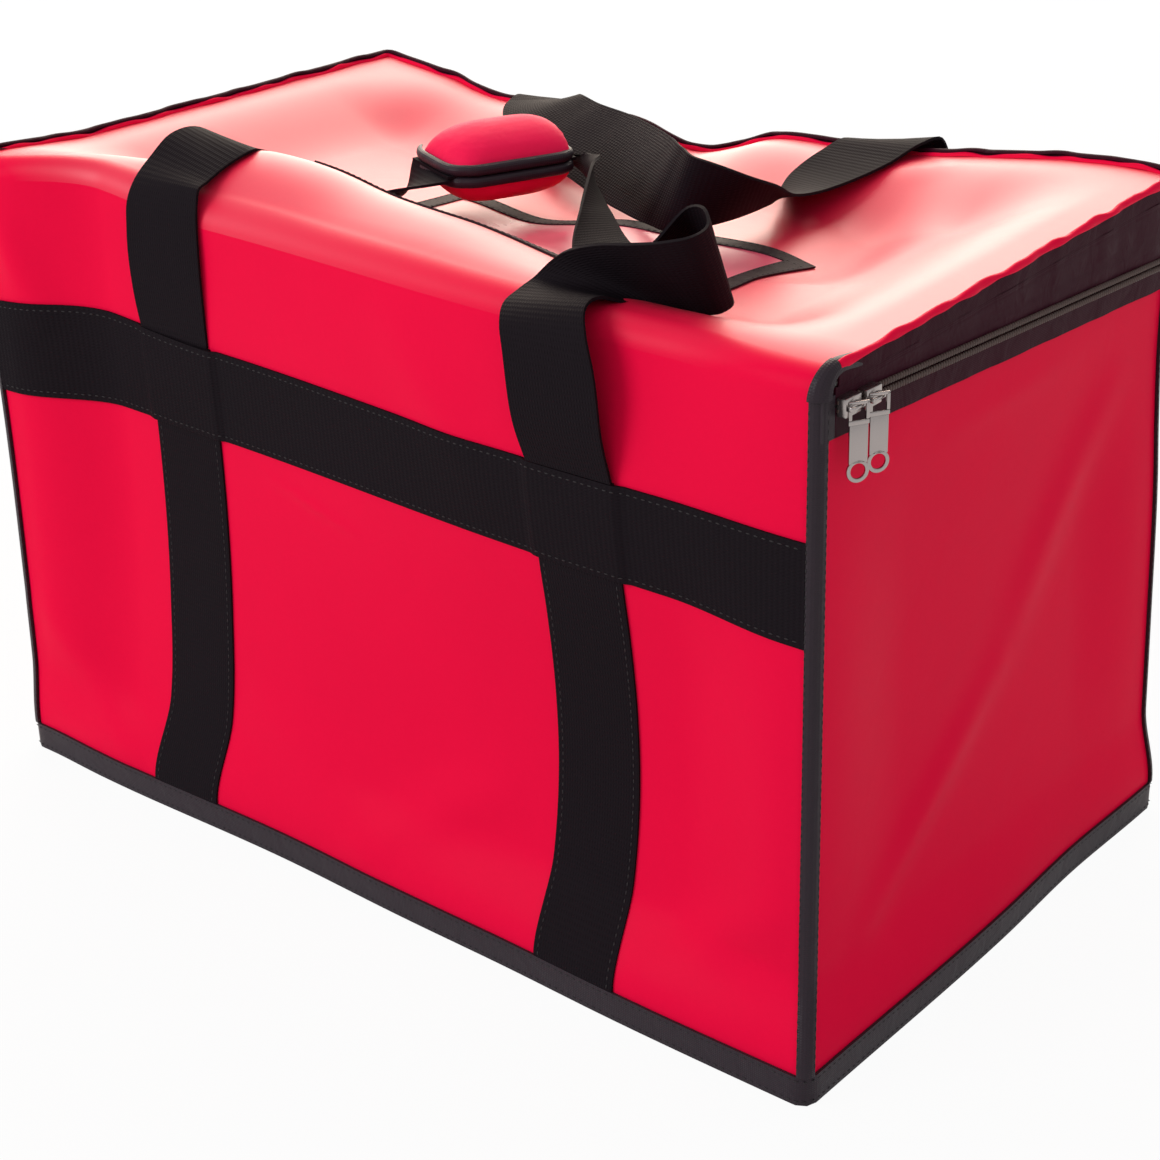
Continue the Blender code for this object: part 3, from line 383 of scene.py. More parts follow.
def bumpNode(nodes, links, height, strength, distance, under=None):
    relief = nodes.new("ShaderNodeBump")
    relief.inputs["Strength"].default_value = strength
    relief.inputs["Distance"].default_value = distance
    links.new(height, relief.inputs["Height"])
    if under:
        links.new(under, relief.inputs["Normal"])
    return relief.outputs["Normal"]


def rangeNode(nodes, links, value, low, high):
    span = nodes.new("ShaderNodeMapRange")
    span.inputs["To Min"].default_value = low
    span.inputs["To Max"].default_value = high
    links.new(value, span.inputs["Value"])
    return span.outputs["Result"]


# What all the cloths share: waveUnit over a pitch in metres is the scale of Blender's wave
grain = {
    "patches": 9.0, "fine": 420.0, "patchShare": 0.7, "roughSpread": 0.06, "waveUnit": 0.31416,
    "waver": 0.5, "dents": 22.0, "dentDepth": 0.003, "threadDepth": 0.0004, "patchDetail": 4.0,
    "fineDetail": 2.0, "dentDetail": 3.0, "dentWarp": 0.6, "plainSpread": 0.08, "plainDepth": 0.0002,
}


# Woven cloth: threads by the sheet's own UV in metres, slow dents and worn tone by place
def fabric(name, look):
    material, nodes, links, shader = addMaterial(name)
    shader.inputs["Specular IOR Level"].default_value = look["gloss"]
    spot = nodes.new("ShaderNodeTexCoord")
    if "coatStart" in look:
        parts = nodes.new("ShaderNodeSeparateXYZ")
        ramp = nodes.new("ShaderNodeMapRange")
        links.new(spot.outputs["Object"], parts.inputs["Vector"])
        links.new(parts.outputs["Y"], ramp.inputs["Value"])
        for socket, value in zip(("From Min", "From Max"), look["coatStart"]):
            ramp.inputs[socket].default_value = value
        links.new(ramp.outputs["Result"], shader.inputs["Coat Weight"])
        shader.inputs["Coat Roughness"].default_value = look["coatRoughness"]
        shader.inputs["Coat IOR"].default_value = look["coatIor"]
    slow = noiseNode(nodes, links, spot.outputs["Object"], grain["patches"], grain["patchDetail"])
    fine = noiseNode(nodes, links, spot.outputs["Object"], grain["fine"], grain["fineDetail"])
    rest = mathNode(nodes, links, "MULTIPLY", fine, 1 - grain["patchShare"])
    worn = mathNode(nodes, links, "MULTIPLY_ADD", slow, grain["patchShare"], rest)
    tone = toneNode(nodes, links, worn, look["colour"], look.get("spread", 0.1))
    links.new(tone, shader.inputs["Base Color"])
    low, high = look["roughness"] - grain["roughSpread"], look["roughness"] + grain["roughSpread"]
    links.new(rangeNode(nodes, links, slow, low, high), shader.inputs["Roughness"])
    threads = []
    for way, pitch in zip("XY", look["weave"]):
        wave = nodes.new("ShaderNodeTexWave")
        wave.bands_direction = way
        wave.inputs["Scale"].default_value = grain["waveUnit"] / pitch
        wave.inputs["Distortion"].default_value = grain["waver"]
        links.new(spot.outputs[look.get("coords", "UV")], wave.inputs["Vector"])
        threads.append(wave.outputs["Fac"])
    both = mathNode(nodes, links, "MULTIPLY", *threads)
    scale = look.get("dentScale", grain["dents"])
    dents = noiseNode(
        nodes, links, spot.outputs["Object"], scale, grain["dentDetail"], grain["dentWarp"],
    )
    wavy = bumpNode(nodes, links, dents, look["dent"], grain["dentDepth"])
    woven = bumpNode(nodes, links, both, look["bump"], grain["threadDepth"], wavy)
    links.new(woven, shader.inputs["Normal"])
    return material


# Foam, board, metal, thread and film: grains per metre give the worn tone and the relief
def plain(name, colour, roughness=0.5, metallic=0.0, grains=250.0, bump=0.1, spread=0.12):
    material, nodes, links, shader = addMaterial(name)
    shader.inputs["Metallic"].default_value = metallic
    spot = nodes.new("ShaderNodeTexCoord")
    cloud = noiseNode(nodes, links, spot.outputs["Object"], grains)
    links.new(toneNode(nodes, links, cloud, colour, spread), shader.inputs["Base Color"])
    around = grain["plainSpread"]
    low, high = max(roughness - around, 0), min(roughness + around, 1)
    links.new(rangeNode(nodes, links, cloud, low, high), shader.inputs["Roughness"])
    links.new(bumpNode(nodes, links, cloud, bump, grain["plainDepth"]), shader.inputs["Normal"])
    return material


coatedCloth = {
    "colour": (0.84, 0.0040, 0.050), "weave": (0.0006, 0.0006), "roughness": 0.36, "bump": 0.08,
    "gloss": 0.02, "dent": 0.16, "spread": 0.06,
}
webbing = {
    "colour": (0.0095, 0.0065, 0.0090), "roughness": 0.70, "bump": 0.7, "gloss": 0.05, "spread": 0.3,
    "dent": 0.1,
}
finishes = {
    "coverRed": coatedCloth,
    "lidRed": {**coatedCloth, "coatStart": (-0.162, -0.128), "coatRoughness": 0.47, "coatIor": 1.80},
    "gripRed": {
        "colour": (0.92, 0.012, 0.085), "weave": (0.0006, 0.0006), "roughness": 0.5, "bump": 0.12,
        "gloss": 0.06, "coords": "Object", "dent": 0.2, "dentScale": 60.0,
    },
    "webbingBlack": {**webbing, "weave": (0.0016, 0.0030)},
    "webbingAcross": {**webbing, "weave": (0.0030, 0.0016)},
    "bindingBlack": {
        "colour": (0.024, 0.015, 0.022), "weave": (0.0011, 0.0011), "roughness": 0.42, "bump": 0.35,
        "gloss": 0.22, "spread": 0.25, "dent": 0.3, "dentScale": 70.0,
    },
    "zipPlum": {
        "colour": (0.036, 0.0045, 0.0125), "weave": (0.0011, 0.0009), "roughness": 0.5, "bump": 0.4,
        "gloss": 0.05, "spread": 0.3, "dent": 0.5, "dentScale": 55.0,
    },
    "windowTape": {
        "colour": (0.022, 0.010, 0.013), "weave": (0.0011, 0.0011), "roughness": 0.6, "bump": 0.4,
        "gloss": 0.12, "spread": 0.25, "dent": 0.3, "dentScale": 60.0,
    },
    "liningSilver": {
        "colour": (0.62, 0.63, 0.65), "weave": (0.004, 0.004), "roughness": 0.28, "bump": 0.35,
        "gloss": 0.6, "dent": 0.6, "dentScale": 40.0,
    },
}
(
    coverRed, lidRed, gripRed, webbingBlack, webbingAcross, bindingBlack, zipPlum, windowTape,
    liningSilver,
) = (fabric(name, look) for name, look in finishes.items())
foamWhite = plain("foamWhite", (0.82, 0.82, 0.80), 0.9, 0.0, 900.0, 0.4)
boardGrey = plain("boardGrey", (0.2, 0.2, 0.21), 0.6)
steel = plain("steel", (0.42, 0.38, 0.37), 0.24, 1.0, 90.0, 0.03, 0.06)
coilBrown = plain("coilBrown", (0.080, 0.045, 0.038), 0.42, 0.0, 600.0, 0.2)
fastener = plain("fastener", (0.012, 0.009, 0.012), 0.95, 0.0, 1500.0, 1.0)
threadDark = plain("threadDark", (0.011, 0.008, 0.010), 0.7, 0.0, 1500.0, 0.3)
film = plain("film", (0.80, 0.10, 0.17), 0.30, 0.0, 26.0, 0.6, 0.3)
print("materials ready")


# The cover runs up the front, round the fold and back over the lid as one surface
fold = bag["hingeFold"]
foldArc = math.pi / 2 * fold
lidStart = frontTop + foldArc
lidDeep = lidBack - lidFront
frontCorner = {"radius": 0.006, "least": 0.0002, "fadeLow": 0.318, "fadeHigh": 0.340}


def coverNominal(x, s, lift=0.0):
    turn = np.clip((s - frontTop) / foldArc, 0, 1) * math.pi / 2
    y = -halfY + fold * (1 - np.cos(turn)) + np.clip(s - lidStart, 0, None)
    z = np.minimum(s, frontTop) + fold * np.sin(turn)
    return x, y - lift * np.cos(turn), z + lift * np.sin(turn)


def onCover(x, s, lift=0.0):
    return sag(np.stack(coverNominal(x, s, lift), axis=1))


def frontSurface(u, v):
    s = foamNear + v * (frontTop - foamNear)
    fade = (frontCorner["fadeHigh"] - s) / (frontCorner["fadeHigh"] - frontCorner["fadeLow"])
    radius = frontCorner["radius"] * smoothStep(fade) + frontCorner["least"]
    quarter = math.pi / 2 * radius
    total = 2 * (halfX - radius) + 2 * quarter
    a = (u - 0.5) * total
    over = np.clip((np.abs(a) - (halfX - radius)) / radius, 0, math.pi / 2)
    x = np.sign(a) * (np.minimum(np.abs(a), halfX - radius) + radius * np.sin(over))
    y = -halfY + radius * (1 - np.cos(over))
    return sag(np.stack([x, y, s], axis=1))


def foldSurface(low, high):
    def place(u, v):
        return onCover(low + u * (high - low), frontTop + v * foldArc)
    return place


def lidSurface(u, v):
    return onCover((u - 0.5) * 2 * (halfX - bag["layerGap"]), lidStart + v * lidDeep)


# What crosses the hinge is left on no body, with its transform baked into its mesh
def bendOverFold(strip, x):
    ends = onCover(np.array([x, x]), np.array([frontTop, lidStart]))
    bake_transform(strip)


sewnSheet(
    "frontPanel", frontSurface, (190, 116), (2 * halfX, frontTop), bag["cover"], coverRed, "bag",
    "shell_front", held="stretched",
)
foldPieces = 7
for index in range(foldPieces):
    low = -halfX + 2 * halfX * index / foldPieces
    high = low + 2 * halfX / foldPieces
    strip = sewnSheet(
        f"foldStrip{index}", foldSurface(low, high), (27, 10), (high - low, foldArc),
        bag["cover"], lidRed, None, held="folded",
    )
    bendOverFold(strip, (low + high) / 2)
    if index == 0:
        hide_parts("lid_hinge_fold")
sewnSheet(
    "lidCover", lidSurface, (190, 108), (2 * halfX, lidDeep), bag["cover"], lidRed, "lid",
    "lid_cover", held="stretched",
)
print("front, fold and lid made")


# Side walls: one sheet from the front right corner round the back to the front left
backRadius = 0.005


def wallRun(start):
    straightSide = halfY - backRadius - start
    corner = math.pi / 2 * backRadius
    straightBack = 2 * (halfX - backRadius)
    return np.array([straightSide, corner, straightBack, corner, straightSide])


def wallNominal(a, start, out):
    runs = np.cumsum(wallRun(start))
    corner = math.pi / 2 * backRadius
    turnA = np.clip((a - runs[0]) / corner, 0, 1) * math.pi / 2
    turnB = np.clip((a - runs[2]) / corner, 0, 1) * math.pi / 2
    turn = turnA + turnB
    outX, outY = np.cos(turn), np.sin(turn)
    centreX = halfX - backRadius - np.clip(a - runs[1], 0, runs[2] - runs[1])
    y = np.where(a < runs[0], start + a, halfY - backRadius)
    y = np.where(a > runs[3], halfY - backRadius - (a - runs[3]), y)
    reach = backRadius + out
    return centreX + reach * outX, y + reach * outY


def wallSurface(start, lowZ, highZ, out):
    total = wallRun(start).sum()

    def place(u, v):
        x, y = wallNominal(u * total, start, out if np.isscalar(out) else out(u, v))
        return sag(np.stack([x, y, lowZ + v * (highZ - lowZ)], axis=1))
    return place


def floorPatch(inset, z):
    def place(u, v):
        x = (u - 0.5) * 2 * (halfX - inset)
        y = (v - 0.5) * 2 * (halfY - inset)
        return sag(np.stack([x, y, np.full_like(u, z)], axis=1))
    return place


wallStart = -halfY + frontCorner["radius"]
wallTotal = wallRun(wallStart).sum()
sewnSheet(
    "sideWalls", wallSurface(wallStart, foamNear, wallTop, 0.0), (360, 90), (wallTotal, wallTop),
    bag["cover"], coverRed, "bag", "shell_right", "shell_back", "shell_left", held="stretched",
)
baseInset = 0.002
sewnSheet(
    "basePanel", floorPatch(baseInset, 0.0), (90, 54), (2 * halfX, 2 * halfY), bag["cover"], coverRed,
    "bag", "shell_base", flip=True, held="stretched",
)
print("walls and base made")

# Zip tapes with their coils, and the lid's binding
zipBand = {
    "coil": 0.0024, "coilPitch": 0.0021, "tooth": (0.0038, 0.0019, 0.0020), "toothOut": 0.0006,
    "ripple": 0.0013, "dip": 0.0004, "calmEnd": 0.045, "calmFade": 0.030, "lowerShare": 0.4,
    "waves": ((0.0075, 1.0, 0.0), (0.0118, 0.7, 1.3), (0.0043, 0.5, 0.4)),
}
tapeStart = -halfY + bag["tapeStart"]
tapeTotal = wallRun(tapeStart).sum()
slotTop = zipZ + bag["zipSlot"] / 2
slotLow = zipZ - bag["zipSlot"] / 2
upperTapeTop = bag["height"] - bag["upperTapeTop"]


# Three waves, each with its length, its share and its start
def rippleAt(a):
    waves = sum(share * np.sin(a / length + start) for length, share, start in zipBand["waves"])
    return waves * zipBand["ripple"] / sum(share for length, share, start in zipBand["waves"])


# The seam lies flat at its front ends and ripples outwards beyond them
def seamWave(a):
    calm = smoothStep((a - zipBand["calmEnd"]) / zipBand["calmFade"])
    return np.maximum(rippleAt(a), -zipBand["dip"]) * calm


def rippled(topShare, lowShare):
    def out(u, v):
        return bag["cover"] + seamWave(u * tapeTotal) * (lowShare + (topShare - lowShare) * v)
    return out


sewnSheet(
    "zipTapeUpper", wallSurface(tapeStart, slotTop, upperTapeTop, rippled(1, 0)), (420, 10),
    (tapeTotal, upperTapeTop - slotTop), bag["cover"], zipPlum, "lid", "zip_tape_upper",
)
sewnSheet(
    "zipTapeLower",
    wallSurface(tapeStart, wallTop + bag["layerGap"], slotLow, rippled(0, zipBand["lowerShare"])),
    (420, 10), (tapeTotal, slotLow - wallTop), bag["cover"], zipPlum, "bag", "zip_tape_lower",
)
coilOut = bag["cover"] + bag["layerGap"] + zipBand["toothOut"]
for coilName, low, high, body in (
    ("Upper", slotTop, slotTop + zipBand["coil"], "lid"),
    ("Lower", slotLow - zipBand["coil"], slotLow, "bag"),
):
    teeth = dashes(
        f"zipCoil{coilName}", wallSurface(tapeStart, low, high, coilOut), (0, 0.5), (1, 0.5),
        zipBand["coilPitch"], zipBand["tooth"], coilBrown, body, across=True,
    )
    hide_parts(f"zip_teeth_{coilName.lower()}")

# The lid's tape stands up the outside of the seam and rolls over its top, higher on the far sides
rolledTape = {
    "roll": 0.0017, "upShare": 0.6, "high": 0.0068, "farRise": 0.0040, "farStart": 0.030,
    "farFade": 0.040, "width": 0.015, "thick": 0.0009, "waveStart": 0.5, "waveLift": 0.6,
}
lidTapeTotal = wallRun(lidFront).sum()
lidTapeLow = bag["height"] - bag["lidTape"]


def farShare(a):
    return smoothStep((a - wallRun(lidFront)[0] + rolledTape["farStart"]) / rolledTape["farFade"])


def lidTapePlace(u, v):
    roll, a = rolledTape["roll"], u * lidTapeTotal
    turn = np.clip((v - rolledTape["upShare"]) / (1 - rolledTape["upShare"]), 0, 1) * math.pi
    wave, begin = seamWave(a), rolledTape["waveStart"]
    away = bag["webThick"] - roll + roll * np.cos(turn) + wave * (begin + (1 - begin) * v)
    x, y = wallNominal(a, lidFront, away)
    high = rolledTape["high"] + rolledTape["farRise"] * farShare(a)
    z = lidTapeLow + np.minimum(v / rolledTape["upShare"], 1) * high + roll * np.sin(turn)
    lift = rolledTape["waveLift"] * np.maximum(wave, 0) * v
    return sag(np.stack([x, y, z + lift], axis=1))


sewnSheet(
    "lidBinding", lidTapePlace, (420, 16), (lidTapeTotal, rolledTape["width"]), rolledTape["thick"],
    zipPlum, "lid", "lid_binding",
)

# The cover's turned edge stands as a thin wavy lip along the lid's seam
lip = {
    "reach": 0.0017, "high": 0.0021, "out": 0.0012, "inward": 0.0004, "farInward": 0.0024,
    "below": 0.0006, "width": 0.006, "thick": 0.0005, "startShare": 0.15, "halfTurns": 1.1,
    "waveShare": 0.5, "waveStretch": 1.3, "waveOut": 1.2,
}


def lipSurface(u, v):
    angle = (v - lip["startShare"]) * math.pi * lip["halfTurns"]
    a = u * lidTapeTotal
    wave = 1 + lip["waveShare"] * rippleAt(a * lip["waveStretch"]) / zipBand["ripple"]
    inward = lip["inward"] + lip["farInward"] * farShare(a)
    away = lip["out"] - inward + lip["reach"] * np.cos(angle) + lip["waveOut"] * seamWave(a)
    x, y = wallNominal(a, lidFront, away)
    z = bag["height"] - lip["below"] + lip["high"] * wave * np.sin(angle)
    return sag(np.stack([x, y, z], axis=1))


sewnSheet("lidLip", lipSurface, (420, 8), (lidTapeTotal, lip["width"]), lip["thick"], coverRed, "lid")

# Rows of stitches along both edges of a tape or strap
stitch = {
    "pitch": 0.0042, "binding": (0.0027, 0.0007, 0.0005), "webbing": (0.0028, 0.0008, 0.0005),
    "cornerShare": 0.08, "baseShare": 0.14, "strapShare": 0.06, "windowShare": 0.12,
    "cornerSpan": (0.01, 0.99), "strapSpan": (0, 0.80), "bandSpan": (0.005, 0.995),
}


def stitchEdges(name, place, marks, inset, span, kind, body, along="v"):
    for mark, across in zip(marks, (inset, 1 - inset)):
        ends = [(across, share) if along == "v" else (share, across) for share in span]
        dashes(name + mark, place, *ends, stitch["pitch"], stitch[kind], threadDark, body)


# A tape folded round a corner: from u = 0 to 1 along one face, round the radius, along the other
turnedTape = {
    "radius": 0.004, "flatShare": 0.625, "thinRadius": 0.0022, "thinReach": 0.0020, "thinShare": 0.1,
    "lidRun": 0.022, "lidThick": 0.0010, "lidSunk": 0.0030, "sunkInward": 0.4,
}


def tapeSection(u, radius, reach, out):
    across, flatShare = (u - 0.5) * 2, turnedTape["flatShare"]
    turn = (np.clip(across / flatShare, -1, 1) + 1) * math.pi / 4
    slide = np.clip(np.abs(across) - flatShare, 0, None) / (1 - flatShare) * (reach - radius)
    x = (radius + out) * np.cos(turn) - radius - np.where(across > 0, slide, 0)
    y = (radius + out) * np.sin(turn) - radius - np.where(across < 0, slide, 0)
    return x, y


def bindingCorner(signX, signY, topZ):
    lowZ = bag["baseTape"] + bag["layerGap"]

    def place(u, v):
        x, y = tapeSection(u, turnedTape["radius"], bag["cornerTape"], tapeOut)
        spot = [signX * (halfX + x), signY * (halfY + y), lowZ + v * (topZ - lowZ)]
        return sag(np.stack(spot, axis=1))
    return place


for sideName, signX in (("Left", -1), ("Right", 1)):
    for faceName, signY in (("Front", -1), ("Back", 1)):
        topZ = wallTop - bag["layerGap"] if signY > 0 else frontTop
        place = bindingCorner(signX, signY, topZ)
        sewnSheet(
            f"cornerBinding{faceName}{sideName}", place, (18, 100), (2 * bag["cornerTape"], topZ),
            bag["webThick"], bindingBlack, "bag", f"binding_{faceName.lower()}_{sideName.lower()}",
            flip=signX * signY < 0,
        )
        stitchEdges(
            f"cornerStitch{faceName}{sideName}", place, "AB", stitch["cornerShare"],
            stitch["cornerSpan"], "binding", "bag",
        )


# Over the fold the binding turns with the cover, then runs out thin and sunk along the lid's edge
def foldBinding(sign, begin, finish, sunk):
    def place(u, v):
        thin = 1.0 if sunk else smoothStep(v)
        radius = turnedTape["radius"] - turnedTape["thinRadius"] * thin
        reach = bag["cornerTape"] - turnedTape["thinReach"] * thin
        x, lift = tapeSection(u, radius, reach, tapeOut * (1 - turnedTape["thinShare"] * thin))
        drop = sunk * smoothStep(v)
        x = sign * (halfX + x - turnedTape["sunkInward"] * drop)
        return onCover(x, begin + v * (finish - begin), lift - drop)
    return place


for sideName, sign in (("Left", -1), ("Right", 1)):
    turned = sewnSheet(
        f"foldBinding{sideName}", foldBinding(sign, frontTop, lidStart, 0.0), (18, 12),
        (2 * bag["cornerTape"], foldArc), bag["webThick"], bindingBlack, None, flip=sign < 0,
    )
    bendOverFold(turned, sign * halfX)
    lidEnd = lidStart + turnedTape["lidRun"]
    sewnSheet(
        f"lidCornerBinding{sideName}", foldBinding(sign, lidStart, lidEnd, turnedTape["lidSunk"]),
        (18, 16), (2 * bag["cornerTape"], turnedTape["lidRun"]), turnedTape["lidThick"],
        bindingBlack, "lid", flip=sign < 0,
    )


# Once round a box with rounded corners, from the front right
def roundLoop(u, radius, inset, out):
    straightX, straightY = 2 * (halfX - radius - inset), 2 * (halfY - radius - inset)
    quarter = math.pi / 2 * radius
    runs = np.cumsum([straightY, quarter, straightX, quarter] * 2)
    a = np.mod(u, 1.0) * runs[-1]
    turn = sum(np.clip((a - runs[k]) / quarter, 0, 1) for k in (0, 2, 4, 6)) * math.pi / 2
    x = straightX / 2 - np.clip(a - runs[1], 0, straightX) + np.clip(a - runs[5], 0, straightX)
    y = -straightY / 2 + np.clip(a, 0, straightY) - np.clip(a - runs[3], 0, straightY)
    return x + (radius + out) * np.cos(turn), y + (radius + out) * np.sin(turn)


baseRing = {"radius": 0.006, "above": 0.0004, "run": 1.79}


def baseTapeSurface(u, v):
    z = baseRing["above"] + v * (bag["baseTape"] - baseRing["above"])
    return sag(np.stack([*roundLoop(u, baseRing["radius"], 0.0, tapeOut), z], axis=1))


sewnSheet(
    "baseBinding", baseTapeSurface, (420, 6), (baseRing["run"], bag["baseTape"]), bag["webThick"],
    bindingBlack, "bag", "binding_base", merge=True,
)
stitchEdges(
    "baseStitch", baseTapeSurface, ("Low", "High"), stitch["baseShare"], (0, 1), "binding", "bag",
    along="u",
)

zipEnd = {"width": 0.010, "high": 0.020, "thick": 0.0009}


def tabSurface(sign):
    def place(u, v):
        x = np.full_like(u, sign * (halfX + bag["cover"]))
        z = wallTop + bag["layerGap"] + v * (frontTop - wallTop)
        return sag(np.stack([x, -halfY + u * zipEnd["width"], z], axis=1))
    return place


for sideName, sign in (("Left", -1), ("Right", 1)):
    sewnSheet(
        f"zipEnd{sideName}", tabSurface(sign), (8, 12), (zipEnd["width"], zipEnd["high"]),
        zipEnd["thick"], bindingBlack, "bag", f"zip_end_{sideName.lower()}", flip=sign < 0,
    )
print("zip and bindings made")

# Webbing sewn on the cover: its edges lie lower, and the band steps over the straps
sewn = {"edge": 0.0004, "edgePower": 6, "step": 0.006}


def edgeDrop(share):
    return sewn["edge"] * (np.abs(share - 0.5) * 2) ** sewn["edgePower"]


def strapSurface(centre, face):
    low = bag["baseTape"] + bag["layerGap"]

    def place(u, v):
        x = centre + (u - 0.5) * bag["webWidth"]
        y = face * (halfY + tapeOut - edgeDrop(u))
        return sag(np.stack([x, y, low + v * (bandTop - low)], axis=1))
    return place


for sideName, centre in (("Left", -strapX), ("Right", strapX)):
    for faceName, face in (("Front", -1), ("Back", 1)):
        place = strapSurface(centre, face)
        sewnSheet(
            f"strap{faceName}{sideName}", place, (16, 84), (bag["webWidth"], bandTop),
            bag["webThick"], webbingBlack, "bag", f"strap_{faceName.lower()}_{sideName.lower()}",
            flip=face > 0, held="stretched",
        )
        stitchEdges(
            f"strapStitch{faceName}{sideName}", place, "AB", stitch["strapShare"],
            stitch["strapSpan"], "webbing", "bag",
        )


def bandSurface(face):
    reach = halfX - bag["cornerTape"] - bag["layerGap"]

    def place(u, v):
        x = (u - 0.5) * 2 * reach
        beside = np.minimum(np.abs(np.abs(x) - strapX) - halfWeb, sewn["step"])
        step = tapeOut * (1 - smoothStep(beside / sewn["step"]))
        y = face * (halfY + tapeOut + step - edgeDrop(v))
        return sag(np.stack([x, y, bandLow + v * bag["webWidth"]], axis=1))
    return place


for faceName, face in (("Front", -1), ("Back", 1)):
    place = bandSurface(face)
    sewnSheet(
        f"band{faceName}", place, (190, 16), (2 * halfX, bag["webWidth"]), bag["webThick"],
        webbingAcross, "bag", f"band_{faceName.lower()}", flip=face > 0, held="stretched",
    )
    stitchEdges(
        f"bandStitch{faceName}", place, ("Low", "High"), stitch["strapShare"],
        stitch["bandSpan"], "webbing", "bag", along="u",
    )
print("sewn webbing made")


# Free webbing follows rows of x, y, z in millimetres, then its width's turn and tilt in degrees
frontLeftRows = (
    (-142, -147.5, 278.5, 0, 0), (-141, -150, 300, 3, 0), (-141, -150, 335, 4, 0),
    (-142, -147, 352, 2, 0), (-143, -142, 361, -2, 2), (-145, -130, 367, -7, -5),
    (-144, -117, 374, -8, -9), (-141, -103, 377, -10, -5), (-143, -84, 368, -24, 10),
    (-141, -67, 354, -34, 26), (-134, -54, 345, -44, 27), (-120, -43, 339, -50, 22),
    (-102, -34, 337, -50, 18), (-84, -28, 341, -47, 18), (-71, -19, 352, -24, 0),
)
frontRightRows = (
    (142, -166, 278.5, 0, 0), (143, -174, 300, 2, 0), (142, -178, 335, 2, 0),
    (137, -175, 349, -1, 5), (131, -166, 356, -3, 9), (129, -152, 358, -4, 7),
    (131, -140, 357, 2, -4), (140, -132, 359, 18, -26), (153, -129, 361, 45, -44),
    (168, -129, 364, 70, -50), (182, -129, 367, 86, -54), (190, -125, 369, 96, -57),
    (191, -115, 371, 100, -59), (181, -105, 375, 102, -62), (167, -99, 374, 103, -54),
    (153, -98, 364, 100, -34), (130, -92, 351, 92, -14), (104, -80, 347, 88, -6),
    (85, -66, 348, 94, -10), (50, -28, 353, 112, -18), (14, 14, 356, 130, -25),
    (-14, 40, 354, 150, -14), (-37, 51, 352, 156, -2),
)
rearRows = (
    (-142, 169.5, 278.5, 180, 0), (-142, 172, 300, 180, 0), (-142, 174, 322, 180, 0),
    (-142, 173, 336, 180, 0), (-141, 166, 343, 182, -1), (-136, 150, 346, 188, -8),
    (-118, 128, 349, 205, -20), (-85, 106, 347, 225, -30), (-45, 88, 347, 232, -36),
    (-5, 64, 348, 226, -46), (30, 38, 352, 205, -56), (62, 12, 357, 178, -62),
    (88, -2, 359, 156, -60), (104, 12, 357, 140, -44), (108, 40, 352, 132, -28),
    (95, 76, 342, 138, -15), (90, 108, 342, 154, -6), (97, 135, 349, 170, -3),
    (102, 156, 354, 176, -6), (105, 169, 351, 180, -14), (109, 174, 338, 180, -24),
    (118, 175, 318, 180, -26), (132, 173, 298, 180, -18), (142, 169.5, 278.5, 180, 0),
)


def webPath(rows):
    table = np.array(rows, float)
    spots = table[:, :3] * 0.001
    run = np.concatenate([[0], np.cumsum(np.linalg.norm(np.diff(spots, axis=0), axis=1))])
    columns = [np.stack([run, column], axis=1) for column in (*spots.T, table[:, 3], table[:, 4])]

    def place(u, s):
        x, y, z, turn, tilt = (curveAt(column, s) for column in columns)
        turn, tilt = np.radians(turn), np.radians(tilt)
        level = np.cos(tilt)
        width = np.stack([np.cos(turn) * level, np.sin(turn) * level, np.sin(tilt)], axis=1)
        return np.stack([x, y, z], axis=1) + width * ((u - 0.5) * bag["webWidth"])[:, None]
    return place, run


# The free webbing's mesh: cells across it, the least along it, and a cell's length
webMesh = {"across": 14, "least": 8, "cell": 0.003}


# With turnTo, a second body across a joint, the webbing is left on no body and its transform is baked
def freeWeb(name, rows, first, last, body, *nodes, turnTo=None):
    along, run = webPath(rows)
    begin, length = run[first], run[last] - run[first]

    def place(u, v):
        return along(u, begin + v * length)

    cells = (webMesh["across"], max(int(length / webMesh["cell"]), webMesh["least"]))
    strip = sewnSheet(
        name, place, cells, (bag["webWidth"], length), bag["webThick"], webbingBlack,
        None if turnTo else body, *nodes,
    )
    if turnTo:
        ends = [tuple(end) for end in along(np.array([0.5, 0.5]), run[[first, last]])]
        if turnTo == "bag":
            body, turnTo, ends = turnTo, body, ends[::-1]
        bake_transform(strip)


freeWeb("riserFrontLeft", frontLeftRows, 0, 2, "bag", "riser_front_left")
freeWeb("frontTurnLeft", frontLeftRows, 2, 4, "bag", turnTo="lid")
freeWeb("frontBendLeft", frontLeftRows, 4, 7, "lid", turnTo="front_handle")
freeWeb("frontHandleLeft", frontLeftRows, 7, 14, "front_handle", "handle_front_left")
freeWeb("riserFrontRight", frontRightRows, 0, 2, "bag", "riser_front_right")
freeWeb("frontTurnRight", frontRightRows, 2, 5, "bag", turnTo="lid")
freeWeb("frontBendRight", frontRightRows, 5, 9, "lid", turnTo="front_handle")
freeWeb("frontHandleRight", frontRightRows, 9, 22, "front_handle", "handle_front_right")
freeWeb("riserBackLeft", rearRows, 0, 2, "bag", "riser_back_left")
freeWeb("rearTurnLeft", rearRows, 2, 5, "bag", "rear_turn_left", turnTo="rear_handle")
freeWeb(
    "rearHandle", rearRows, 5, 18, "rear_handle", "handle_rear_left", "handle_rear_middle",
    "handle_rear_right",
)
freeWeb("rearTurnRight", rearRows, 18, 21, "rear_handle", "rear_turn_right", turnTo="bag")
freeWeb("riserBackRight", rearRows, 21, 23, "bag", "riser_back_right")
print("handles made")

